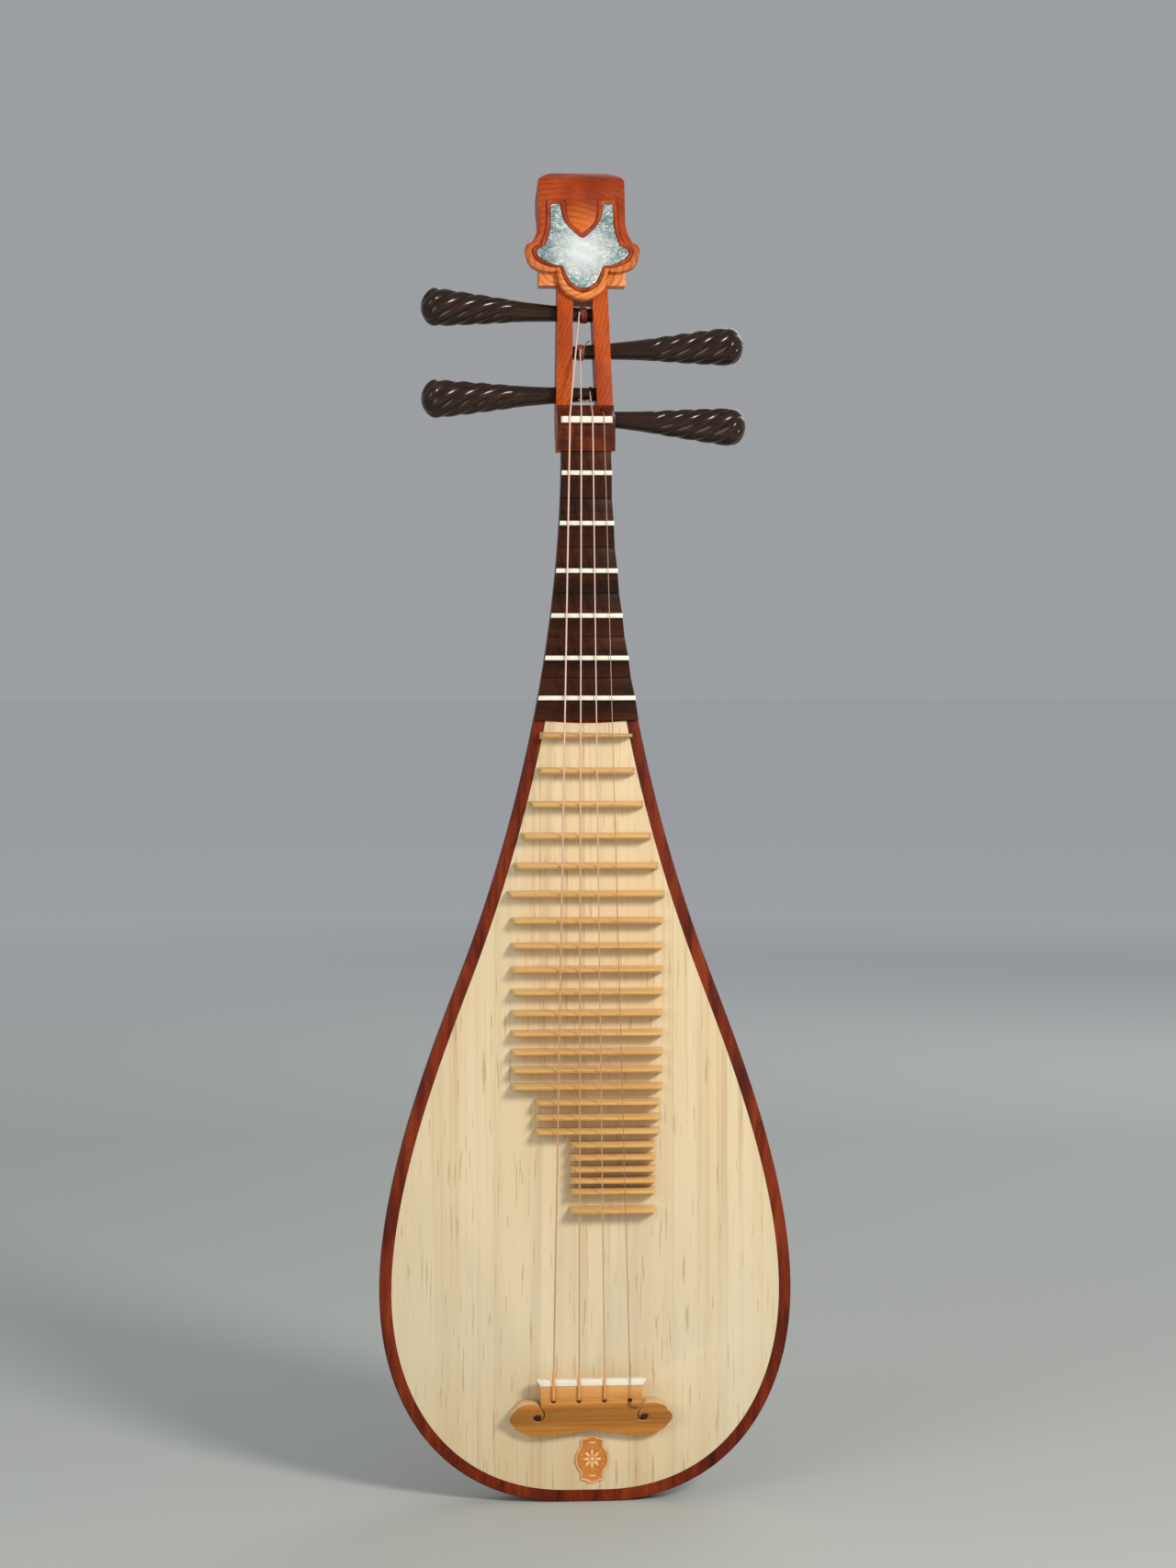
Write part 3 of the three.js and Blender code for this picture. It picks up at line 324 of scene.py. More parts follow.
class Recipe:
    """The nodes of one material, written as calls that give back sockets."""

    def __init__(self, name):
        self.material = bpy.data.materials.new(name)
        self.material.use_nodes = True
        self.tree = self.material.node_tree
        self.shader = self.tree.nodes["Principled BSDF"]
        self.object = self.node("ShaderNodeTexCoord").outputs["Object"]

    def node(self, kind, inputs=None, **settings):
        node = self.tree.nodes.new(kind)
        for key, value in settings.items():
            setattr(node, key, value)
        for key, value in (inputs or {}).items():
            if isinstance(value, bpy.types.NodeSocket):
                self.tree.links.new(value, node.inputs[key])
            else:
                node.inputs[key].default_value = value
        return node

    def stretch(self, scale, location=(0, 0, 0)):
        inputs = {"Vector": self.object, "Scale": scale, "Location": location}
        return self.node("ShaderNodeMapping", inputs).outputs["Vector"]

    def noise(self, vector, scale, detail=4, roughness=0.5, distortion=0):
        inputs = {"Vector": vector, "Scale": scale, "Detail": detail, "Roughness": roughness,
                  "Distortion": distortion}
        return self.node("ShaderNodeTexNoise", inputs).outputs["Fac"]

    def ramp(self, factor, stops):
        node = self.node("ShaderNodeValToRGB", {"Fac": factor})
        elements = node.color_ramp.elements
        while len(elements) < len(stops):
            elements.new(0.5)
        for element, (place, color) in zip(elements, stops):
            element.position = place
            element.color = (*color, 1) if isinstance(color, tuple) else (color, color, color, 1)
        return node.outputs["Color"]

    def mix(self, factor, a, b):
        node = self.node("ShaderNodeMix", data_type="RGBA")
        for index, value in ((0, factor), (6, a), (7, b)):
            if isinstance(value, bpy.types.NodeSocket):
                self.tree.links.new(value, node.inputs[index])
            else:
                node.inputs[index].default_value = (*value, 1) if isinstance(value, tuple) else value
        return node.outputs[2]

    def lay(self, color, tone, factor, *stops):
        """The tone laid over the colour, as much as the stops say for the factor."""
        return self.mix(self.ramp(factor, stops), color, tone)

    def within(self, value, low, high):
        """The value as a share of the way from low to high."""
        return self.math("DIVIDE", self.math("SUBTRACT", value, low), high - low)

    def distance(self, x, z):
        """Distance from the point at x, z as seen from the front."""
        inputs = {0: self.stretch((1, 0, 1)), 1: (x, 0, z)}
        return self.node("ShaderNodeVectorMath", inputs, operation="DISTANCE").outputs["Value"]

    def math(self, operation, a, b=0.0):
        return self.node("ShaderNodeMath", {0: a, 1: b}, operation=operation).outputs[0]

    def split(self, vector):
        return self.node("ShaderNodeSeparateXYZ", {"Vector": vector}).outputs

    def bump(self, height, strength, distance):
        node = self.node("ShaderNodeBump", {"Height": height, "Strength": strength,
                                            "Distance": distance})
        self.tree.links.new(node.outputs["Normal"], self.shader.inputs["Normal"])

    def shade(self, color, roughness, **constants):
        for name, value in (("Base Color", color), ("Roughness", roughness)):
            if isinstance(value, bpy.types.NodeSocket):
                self.tree.links.new(value, self.shader.inputs[name])
            else:
                self.shader.inputs[name].default_value = value
        for name, value in constants.items():
            self.shader.inputs[name.replace("_", " ")].default_value = value
        return self.material


def wood(name, dark, mid, light, grain=40, stretch=(1, 1, 0.07), swirl=0.6, pores=0.55,
         roughness=(0.34, 0.5), coat=0.04):
    """Varnished wood: long figure, darker streaks and short open pores along the grain."""
    r = Recipe(name)
    grain_space = r.stretch(stretch)
    figure = r.noise(grain_space, grain, 7, 0.58, swirl)
    streaks = r.noise(r.stretch(stretch, (3, 7, 1)), grain * 3.2, 3, 0.6, 0.3)
    pore = r.noise(r.stretch((1, 1, stretch[2] * 1.6)), grain * 34, 2, 0.5)
    color = r.ramp(figure, [(0.3, dark), (0.5, mid), (0.72, light)])
    color = r.lay(color, dark, streaks, (0.52, 0.0), (0.68, 0.75))
    color = r.lay(color, tuple(0.35 * c for c in dark), pore, (0.58, 0.0), (0.66, pores))
    r.bump(r.mix(0.5, figure, pore), 0.12, 0.4 * MM)
    rough = r.ramp(figure, [(0.3, roughness[1]), (0.7, roughness[0])])
    return r.shade(color, rough, Specular_IOR_Level=0.12, Coat_Weight=coat,
                   Coat_Roughness=0.25)


RING_WARP = 0.007        # how far noise bends the rings
RING_WAVE = 0.314        # scale of a wave texture whose rings are one metre apart


def ringed_wood(name, centre, period, red, orange, line, painted_highlight=None, fade=None, squash=1.0):
    """Orange wood with growth rings round a centre.

    The painted highlight is given as its middle, reach and tone: a brighter patch; fade is two heights and
    the tone below them.
    """
    r = Recipe(name)
    x, z = centre
    space = r.stretch((squash, 1, 1), (-squash * x, 0, -z))
    warp = r.node("ShaderNodeTexNoise", {"Vector": r.stretch((1, 0.4, 1)), "Scale": 22.0, "Detail": 3.0})
    moved = r.node("ShaderNodeMix", {0: RING_WARP, 4: space, 5: warp.outputs["Color"]}, data_type="VECTOR")
    wave = {"Vector": moved.outputs[1], "Scale": RING_WAVE / period, "Distortion": 2.4, "Detail": 3.0,
            "Detail Scale": 1.2}
    rings = r.node("ShaderNodeTexWave", wave, wave_type="RINGS", rings_direction="Y",
                   wave_profile="SAW").outputs["Fac"]
    cloud = r.noise(r.stretch((1, 1, 0.5)), 34, 4, 0.55)
    pore = r.noise(r.stretch((1, 1, 0.1)), 900, 2, 0.5)
    color = r.ramp(cloud, [(0.32, red), (0.62, orange)])
    if fade:
        low, high, bright = fade
        color = r.lay(color, bright, r.within(r.split(r.object)[2], low, high), (0.0, 0.85), (1.0, 0.0))
    # painted highlight: a brighter patch that fades with the distance from its middle
    if painted_highlight:
        place, reach, bright = painted_highlight
        color = r.lay(color, bright, r.math("DIVIDE", r.distance(*place), reach), (0.35, 0.8), (1.0, 0.0))
    strength = r.ramp(r.noise(r.object, 60, 2), [(0.35, 0.35), (0.6, 1.0)])
    lines = r.ramp(rings, [(0.0, 0.2), (0.1, 0.0), (0.5, 0.08), (0.9, 0.5), (1.0, 0.55)])
    color = r.mix(r.math("MULTIPLY", lines, strength), color, line)
    color = r.lay(color, line, pore, (0.56, 0.0), (0.68, 0.35))
    r.bump(pore, 0.12, 0.2 * MM)
    return r.shade(color, r.ramp(pore, [(0.3, 0.36), (0.7, 0.48)]), Specular_IOR_Level=0.12,
                   Coat_Weight=0.04, Coat_Roughness=0.25)


def soundboard_wood():
    """Pale paulownia staves glued side by side, each with its own tone and fine lines."""
    r = Recipe("soundboard_wood")
    stave_width = 34 * MM
    x, y, z = r.split(r.object)
    wander = r.math("MULTIPLY", r.noise(r.stretch((0, 0, 1)), 1.5, 1), 3 * MM)
    place = r.math("DIVIDE", r.math("ADD", x, wander), stave_width)
    stave = r.math("FLOOR", place)
    tone = r.node("ShaderNodeTexWhiteNoise", {"W": r.math("ADD", stave, 5.5)},
                  noise_dimensions="1D").outputs["Value"]
    within = r.math("FRACT", place)
    bowed = r.math("ADD", x, r.math("MULTIPLY", r.noise(r.stretch((1, 1, 0.4)), 9, 2), 5 * MM))
    shifted = r.node("ShaderNodeCombineXYZ", {"X": bowed, "Y": y, "Z": r.math("MULTIPLY", z, 0.012)})
    shift = r.node("ShaderNodeVectorMath", {0: shifted.outputs[0], 1: tone}, operation="ADD").outputs[0]
    lines = r.noise(shift, 260, 3, 0.6)
    bands = r.noise(shift, 42, 3, 0.55)
    clouds = r.noise(r.stretch((1, 1, 0.3)), 14, 3, 0.5)
    color = r.ramp(bands, [(0.3, (0.625, 0.46, 0.25)), (0.55, (0.7, 0.56, 0.35)), (0.75, (0.74, 0.62, 0.42))])
    color = r.lay(color, (0.49, 0.33, 0.17), lines, (0.52, 0.0), (0.7, 0.55))
    color = r.lay(color, (0.68, 0.51, 0.29), tone, (0.0, 0.0), (1.0, 0.3))
    color = r.lay(color, (0.76, 0.66, 0.47), clouds, (0.45, 0.0), (0.75, 0.35))
    color = r.lay(color, (0.42, 0.25, 0.11), within, (0.0, 0.5), (0.012, 0.0), (0.988, 0.0), (1.0, 0.5))
    color = r.lay(color, (0.7, 0.62, 0.45), z, (0.03, 0.0), (0.12, 0.5), (0.3, 0.0))
    flecks = r.noise(r.stretch((1, 1, 0.05)), 520, 2)
    color = r.lay(color, (0.4, 0.24, 0.1), flecks, (0.62, 0.0), (0.7, 0.55))
    r.bump(lines, 0.15, 0.25 * MM)
    return r.shade(color, r.ramp(lines, [(0.4, 0.56), (0.7, 0.66)]), Specular_IOR_Level=0.35)


def bamboo(name, skin, mid, dark, fibre=520, top=None):
    """Split bamboo: straight pale and brown fibres along X; top is a height and the tone above it."""
    r = Recipe(name)
    fibres = r.noise(r.stretch((0.02, 1, 1)), fibre, 3, 0.6)
    bands = r.noise(r.stretch((0.05, 1, 1)), fibre / 7, 2, 0.5)
    color = r.ramp(fibres, [(0.3, dark), (0.5, mid), (0.7, skin)])
    color = r.lay(color, mid, bands, (0.4, 0.0), (0.7, 0.5))
    if top:
        low, tone = top
        color = r.lay(color, tone, r.within(r.split(r.object)[2], low, low + 12 * MM), (0.0, 0.0), (1.0, 0.5))
    r.bump(fibres, 0.2, 0.2 * MM)
    return r.shade(color, 0.44, Specular_IOR_Level=0.35, Coat_Weight=0.08, Coat_Roughness=0.25)


def bone():
    r = Recipe("bone")
    clouds = r.noise(r.object, 90, 4, 0.6)
    streak = r.noise(r.stretch((0.15, 1, 1)), 700, 2)
    color = r.ramp(clouds, [(0.3, (0.8, 0.74, 0.6)), (0.7, (0.88, 0.84, 0.73))])
    color = r.lay(color, (0.7, 0.6, 0.42), streak, (0.55, 0.0), (0.75, 0.4))
    r.bump(streak, 0.05, 0.1 * MM)
    return r.shade(color, 0.32, Subsurface_Weight=0.08, Subsurface_Scale=1 * MM, Coat_Weight=0.3)


def shell():
    """Pale mother of pearl: white in the middle, with curly teal veins towards the points."""
    r = Recipe("shell")
    away = r.math("DIVIDE", r.distance(0, BODY_LENGTH + 157 * MM), 36 * MM)
    outer = r.ramp(away, [(0.2, 0.0), (0.5, 0.45), (0.75, 0.95)])
    space = r.stretch((1, 1, 1.7))
    patch = r.noise(space, 95, 3, 0.6, 0.5)
    hue = r.noise(space, 60, 2, 0.5)
    broad = r.noise(space, 130, 6, 0.68, 1.5)
    fine = r.noise(r.stretch((1, 1, 2)), 300, 5, 0.7, 1.0)
    color = r.ramp(hue, [(0.35, (0.62, 0.7, 0.7)), (0.5, (0.77, 0.79, 0.76)), (0.65, (0.68, 0.68, 0.73))])
    tint = r.math("MULTIPLY", r.ramp(patch, [(0.5, 0.0), (0.66, 0.75)]), outer)
    color = r.mix(tint, color, (0.18, 0.4, 0.47))
    crackle = r.ramp(fine, [(0.42, 0.0), (0.5, 1.0), (0.58, 0.0)])
    color = r.mix(r.math("MULTIPLY", crackle, r.math("ADD", r.math("MULTIPLY", outer, 0.75), 0.2)),
                  color, (0.1, 0.2, 0.22))
    veins = r.math("MULTIPLY", r.ramp(broad, [(0.42, 0.0), (0.49, 1.0), (0.56, 0.0)]), outer)
    color = r.mix(veins, color, (0.02, 0.075, 0.09))
    r.bump(fine, 0.15, 0.12 * MM)
    return r.shade(color, r.ramp(fine, [(0.3, 0.25), (0.7, 0.4)]), Coat_Weight=0.2,
                   Coat_Roughness=0.12, Thin_Film_Thickness=420.0, Thin_Film_IOR=1.4)


def peg_wood():
    r = Recipe("peg_wood")
    figure = r.noise(r.stretch((0.1, 1, 1)), 160, 5, 0.6, 0.4)
    color = r.ramp(figure, [(0.3, (0.012, 0.006, 0.004)), (0.6, (0.03, 0.013, 0.007)),
                            (0.8, (0.065, 0.024, 0.012))])
    r.bump(figure, 0.06, 0.2 * MM)
    return r.shade(color, r.ramp(figure, [(0.3, 0.2), (0.7, 0.3)]), Specular_IOR_Level=0.15,
                   Coat_Weight=0.32, Coat_Roughness=0.1)


def wound_string(name, light, dark, pitch, metallic, roughness, low=None):
    """Fine winding round a core, drawn as rings along the string; low is its tone over the belly."""
    r = Recipe(name)
    wave = r.node("ShaderNodeTexWave", {"Vector": r.object, "Scale": 1 / pitch, "Distortion": 0.2},
                  wave_type="BANDS", bands_direction="Z").outputs["Fac"]
    patch = r.noise(r.object, 35, 3)
    color = r.lay(light, dark, wave, (0.2, 0.0), (0.8, 0.7))
    color = r.lay(color, dark, patch, (0.4, 0.0), (0.7, 0.35))
    if low:
        color = r.lay(color, low, r.split(r.object)[2], (0.42, 0.85), (0.62, 0.0))
    r.bump(wave, 0.3, 0.08 * MM)
    return r.shade(color, roughness, Metallic=metallic)


def silk():
    r = Recipe("silk")
    fuzz = r.noise(r.stretch((1, 1, 0.2)), 2400, 3, 0.7)
    patch = r.noise(r.object, 300, 2)
    color = r.ramp(fuzz, [(0.3, (0.62, 0.2, 0.035)), (0.6, (0.86, 0.36, 0.09)), (0.8, (0.95, 0.52, 0.2))])
    color = r.lay(color, (0.7, 0.26, 0.06), patch, (0.45, 0.0), (0.7, 0.4))
    r.bump(fuzz, 0.4, 0.12 * MM)
    return r.shade(color, 0.62, Sheen_Weight=0.5, Sheen_Roughness=0.4)


def badge_metal(name, low, high):
    r = Recipe(name)
    brushed = r.noise(r.stretch((1, 1, 6)), 300, 3, 0.6)
    stain = r.noise(r.object, 160, 4)
    color = r.ramp(stain, [(0.3, low), (0.7, high)])
    r.bump(brushed, 0.08, 0.1 * MM)
    return r.shade(color, r.ramp(brushed, [(0.3, 0.3), (0.7, 0.46)]), Metallic=0.45)


BODY_WOOD = wood("body_wood", (0.05, 0.007, 0.003), (0.17, 0.02, 0.005), (0.28, 0.045, 0.01), grain=52,
                 stretch=(1, 1, 0.13), swirl=1.2)
LEDGE_WOOD = wood("ledge_wood", (0.013, 0.005, 0.003), (0.045, 0.012, 0.005), (0.085, 0.02, 0.008),
                  grain=60, stretch=(0.12, 1, 1), pores=0.4, roughness=(0.36, 0.5), coat=0.05)
NUT_BLOCK_WOOD = wood("nut_block_wood", (0.03, 0.006, 0.003), (0.1, 0.017, 0.005), (0.19, 0.034, 0.009),
                      grain=45, stretch=(0.3, 1, 0.8), swirl=1.5, roughness=(0.3, 0.44), coat=0.12)
HEAD_CARVED_WOOD = ringed_wood(
    "head_carved_wood", (-9 * MM, BODY_LENGTH + 150 * MM), 4.3 * MM,
    (0.26, 0.032, 0.008), (0.46, 0.075, 0.012), (0.16, 0.02, 0.007),
    # painted highlight round the tongue of the head
    painted_highlight=((0, BODY_LENGTH + 172 * MM), 26 * MM, (0.7, 0.17, 0.03)),
    fade=(BODY_LENGTH + 132 * MM, BODY_LENGTH + 168 * MM, (0.88, 0.3, 0.085)), squash=0.85)
CHEEK_WOOD = ringed_wood(
    "cheek_wood", (-100 * MM, BODY_LENGTH + 185 * MM), 4.8 * MM, (0.3, 0.038, 0.008), (0.5, 0.085, 0.012),
    (0.17, 0.02, 0.006), squash=1.6)
BORDER_WOOD = wood("border_wood", (0.16, 0.02, 0.008), (0.36, 0.048, 0.014), (0.52, 0.1, 0.025),
                   grain=110, stretch=(1, 1, 0.4), roughness=(0.28, 0.4))
SOUNDBOARD_WOOD = soundboard_wood()
FRET_SIDE = bamboo("fret_bamboo", (0.84, 0.6, 0.28), (0.76, 0.49, 0.2), (0.62, 0.34, 0.11), 700)
FRET_SKIN = bamboo("fret_bamboo_skin", (0.74, 0.43, 0.12), (0.64, 0.32, 0.07), (0.47, 0.21, 0.04), 900)
BRIDGE_SKIN = bamboo("bridge_bamboo", (0.6, 0.26, 0.045), (0.48, 0.18, 0.026), (0.34, 0.11, 0.014), 520,
                     (TIE_Z - 4 * MM, (0.82, 0.42, 0.14)))
BRIDGE_SIDE = bamboo("bridge_bamboo_side", (0.8, 0.58, 0.32), (0.72, 0.48, 0.24), (0.55, 0.32, 0.14), 700)
BONE = bone()
SHELL = shell()
PEG_WOOD = peg_wood()
STRING_LOOK = wound_string("string", (0.86, 0.62, 0.52), (0.7, 0.42, 0.33), 0.5 * MM, 0.1, 0.4,
                           (0.5, 0.27, 0.12))
THIN_STRING_LOOK = wound_string("thin_string", (0.5, 0.34, 0.28), (0.34, 0.2, 0.16), 0.5 * MM, 0.2, 0.4,
                                (0.34, 0.17, 0.08))
# the dark red-brown of string_winding stands for the shade on string 1's turns: painted shade on a pale
# string
WINDING_RED_PAINTED_SHADE, WINDING_BROWN, WINDING_PALE = [
    wound_string(name, light, dark, 0.7 * MM, 0.2, 0.45) for name, light, dark in (
        ("string_winding", (0.3, 0.07, 0.04), (0.14, 0.03, 0.02)),
        ("string_winding_brown", (0.4, 0.15, 0.08), (0.2, 0.06, 0.035)),
        ("string_winding_pale", (0.62, 0.5, 0.36), (0.36, 0.27, 0.18)))]
STEEL_TAIL = wound_string("string_tail", (0.1, 0.07, 0.055), (0.05, 0.035, 0.03), 0.6 * MM, 0.6, 0.35)
WINDING_LOOKS = [WINDING_RED_PAINTED_SHADE, WINDING_BROWN, STEEL_TAIL, STEEL_TAIL]
SILK = silk()
BADGE_LOW = badge_metal("badge_metal", (0.62, 0.2, 0.04), (0.74, 0.28, 0.065))
BADGE_HIGH = badge_metal("badge_metal_raised", (0.9, 0.5, 0.17), (0.95, 0.64, 0.3))


# ---- camera, lights and floor

EYE = Vector((-182 * MM, FACE_Y - 2.6, 650 * MM))
AIM = Vector((1.6 * MM, FACE_Y, 650 * MM))
camera_data = bpy.data.cameras.new("camera")
camera_data.lens = 78.6
camera_data.shift_y = -0.0868
bpy.context.scene.view_settings.view_transform = "Standard"
camera = bpy.data.objects.new("camera", camera_data)
bpy.context.scene.collection.objects.link(camera)
camera.location = EYE
camera.rotation_euler = (AIM - EYE).to_track_quat("-Z", "Y").to_euler()
bpy.context.scene.camera = camera


def area_light(name, place, target, size, power, color=(1, 1, 1)):
    data = bpy.data.lights.new(name, "AREA")
    data.shape = "DISK"
    data.size = size
    data.energy = power
    data.color = color
    light = bpy.data.objects.new(name, data)
    bpy.context.scene.collection.objects.link(light)
    light.location = place
    light.rotation_euler = (Vector(target) - Vector(place)).to_track_quat("-Z", "Y").to_euler()


MIDDLE = (0, 0, 0.5)
area_light("key_light", (1.3, -2.1, 1.6), MIDDLE, 0.7, 55, (1, 0.95, 0.87))
area_light("fill_light", (-1.9, -2.2, 1.1), MIDDLE, 1.8, 25, (0.96, 1, 1))
area_light("back_light", (1.4, 2.4, 2.4), MIDDLE, 2.4, 26)

world = bpy.data.worlds.new("world")
bpy.context.scene.world = world
world.use_nodes = True
world.node_tree.nodes["Background"].inputs["Color"].default_value = (0.93, 0.96, 1, 1)
world.node_tree.nodes["Background"].inputs["Strength"].default_value = 0.36


def floor():
    """Wide pale floor with painted light: grey near the middle and lighter far away, making up for the lamps'
    fall-off, so that it meets the background softly.
    """
    bpy.ops.mesh.primitive_plane_add(size=80, location=(0, 0, 0))
    sheet = named(bpy.context.object, "floor")
    r = Recipe("floor_paint")
    away = r.node("ShaderNodeVectorMath", {0: r.object}, operation="LENGTH").outputs["Value"]
    # painted light: the colour rises from grey to near white with the distance from the middle
    tint = r.ramp(r.math("DIVIDE", away, 8.0), [(0.25, (0.5, 0.52, 0.5)), (0.7, (0.94, 0.96, 0.98))])
    sheet.data.materials.append(r.shade(tint, 1.0, Specular_IOR_Level=0.0))


# ---- outline of the body

def bezier(a, b, c, d, steps):
    """Points of a cubic curve after its first end."""
    points = []
    for k in range(1, steps + 1):
        t = k / steps
        weights = ((1 - t) ** 3, 3 * t * (1 - t) ** 2, 3 * t * t * (1 - t), t ** 3)
        points.append(tuple(sum(w * p[axis] for w, p in zip(weights, (a, b, c, d))) for axis in (0, 1)))
    return points


def body_outline():
    """Right half of the pear outline, from the bottom centre to the top of the neck."""
    length, width = BODY_LENGTH, HALF_WIDTH
    foot = (FOOT_HALF, 0)
    widest = (width, WIDEST_Z)
    shoulder = (0.581 * width, 0.5169 * length)
    top = (NECK_HALF, length)
    points = [(0.0, 0.0), (FOOT_HALF / 2, 0.0), foot]
    points += bezier(foot, (0.665 * width, 0), (width, 0.0857 * length), widest, OUTLINE_STEPS)
    points += bezier(widest, (width, 0.3147 * length), (0.7045 * width, 0.4512 * length), shoulder,
                     OUTLINE_STEPS)
    points += bezier(shoulder, (0.276 * width, 0.6786 * length), (NECK_HALF, 0.8515 * length), top,
                     OUTLINE_STEPS)
    return points


OUTLINE = body_outline()


def outward(outline, k):
    """Direction that points out of a half outline at one of its points."""
    before = Vector(outline[max(k - 1, 0)])
    after = Vector(outline[min(k + 1, len(outline) - 1)])
    along = (after - before).normalized() if k else Vector((1, 0))
    return Vector((along.y, -along.x))


def half_width_at(z):
    for (x0, z0), (x1, z1) in zip(OUTLINE[2:], OUTLINE[3:]):
        if z <= z1:
            return lerp(x0, x1, (z - z0) / (z1 - z0))
    return OUTLINE[-1][0]


def inset_outline(distance, top):
    """The half outline moved in, and ended level at a height."""
    moved = [Vector(p) - distance * outward(OUTLINE, k) for k, p in enumerate(OUTLINE)]
    kept = [p for p in moved if p.y < top - MM]
    after = moved[len(kept)]
    t = (top - kept[-1].y) / (after.y - kept[-1].y)
    return [tuple(p) for p in kept] + [(lerp(kept[-1].x, after.x, t), top)]


def board_outline(clearance):
    """The soundboard's closed outline, with a sagging top edge."""
    half = inset_outline(RIM_WIDTH + clearance, BOARD_TOP - clearance)
    corner_x, corner_z = half[-1]
    steps = 12
    sag = []
    for k in range(1, steps):
        t = 1 - 2 * k / steps
        sag.append((corner_x * t, corner_z - BOARD_SAG * (1 - t * t)))
    return half[1:] + sag + [(-x, z) for x, z in reversed(half[1:])] + [half[0]]


# ---- bowl, soundboard and neck

def bowl_share(z):
    return (1 + math.cos(math.pi * share(z, WIDEST_Z, 0.74 * BODY_LENGTH))) / 2


def back_depth(z):
    return lerp(NECK_DEPTH, BOWL_DEPTH, bowl_share(z))


def side_depth(z):
    return lerp(NECK_SIDE_DEPTH, RIM_DEPTH, bowl_share(z))


def half_section(outline, k, front, side, back, edge):
    """Points from the front edge round to the spine; below the widest place they share one spine point."""
    x, z = outline[k]
    out_x, out_z = outward(outline, k)
    spine = max(z, WIDEST_Z)
    points = []
    for step in range(4):
        t = math.pi / 2 * step / 3
        inset = edge * (1 - math.sin(t))
        y = front + edge * (1 - math.cos(t))
        points.append(Vector((max(x - out_x * inset, 0), y, z - out_z * inset)))
    for column in range(BOWL_COLUMNS + 1):
        angle = column / BOWL_COLUMNS * math.pi / 2
        out = max(math.cos(angle), 0) ** (2 / BOWL_FULLNESS) if column < BOWL_COLUMNS else 0
        depth = lerp(side(z), back(spine), math.sin(angle) ** (2 / BOWL_FULLNESS))
        points.append(Vector((x * out, FACE_Y + depth, lerp(spine, z, out))))
    return points


def bowl_solid(name, outline, front, side, back, edge):
    """Closed bowl behind a half outline, with a flat front and a level top end."""
    sections = []
    for k in range(len(outline)):
        half = half_section(outline, k, front, side, back, edge)
        left = [Vector((-p.x, p.y, p.z)) for p in half]
        sections.append(left + half[-2::-1])
    obj = shaped_grid(name, len(sections[0]) - 1, len(sections) - 1, lambda i, j: sections[j][i])
    top = outline[-1][1]
    for vertex in obj.data.vertices:
        vertex.select = vertex.co.z > top - MERGE
    with editing(obj, "VERT", everything=False):
        bpy.ops.mesh.edge_face_add()
        bpy.ops.mesh.select_all(action="DESELECT")
        bpy.ops.mesh.select_non_manifold()
        bpy.ops.mesh.edge_face_add()
        bpy.ops.mesh.select_all(action="SELECT")
        bpy.ops.mesh.normals_make_consistent(inside=False)
    return obj


def bowl():
    body = bowl_solid("bowl", OUTLINE, FACE_Y, side_depth, back_depth, RIM_EDGE)
    seat = cut_out("seat", board_outline(0), front_plane, FACE_Y - MM, BOARD_THICKNESS + 1.3 * MM)
    inside = inset_outline(RIM_WIDTH + BOARD_SEAT, CAVITY_TOP)
    room = BOARD_THICKNESS + 14 * MM
    cavity = bowl_solid("cavity", inside, FACE_Y - MM / 2,
                        lambda z: lerp(BOARD_THICKNESS + 4 * MM, room, bowl_share(z)),
                        lambda z: back_depth(z) - WALL, 0)
    combine(body, [seat, cavity])
    finished(body, BODY_WOOD, ["body_back"])


def soundboard():
    board = cut_out("belly", board_outline(BOARD_GAP), front_plane, FACE_Y, BOARD_THICKNESS)
    hole_z = BRIDGE_TOP - 24 * MM
    combine(board, [bore(5 * MM, BRIDGE_X, hole_z, FACE_Y - MM, FACE_Y + 9 * MM)])
    soften(board, 0.25 * MM, 2, 60)
    finished(board, SOUNDBOARD_WOOD, ["soundboard"])


def inner_parts():
    """The braces and the sound post keep their CAD solids and get a wood finish."""
    for node in ("brace_upper", "brace_middle", "brace_lower", "sound_post"):
        frame["nodes"][node].data.materials.clear()
        frame["nodes"][node].data.materials.append(SOUNDBOARD_WOOD)


def fit_to_neck(obj, inset=0.0):
    """Bring both ends of a bar across the neck to the outline of the neck."""
    for vertex in obj.data.vertices:
        vertex.co.x = math.copysign(half_width_at(vertex.co.z) - inset, vertex.co.x)


LEDGE_VALLEY = 4 * MM
LEDGE_STEPS = 8
LEDGE_CURVE = 1.25


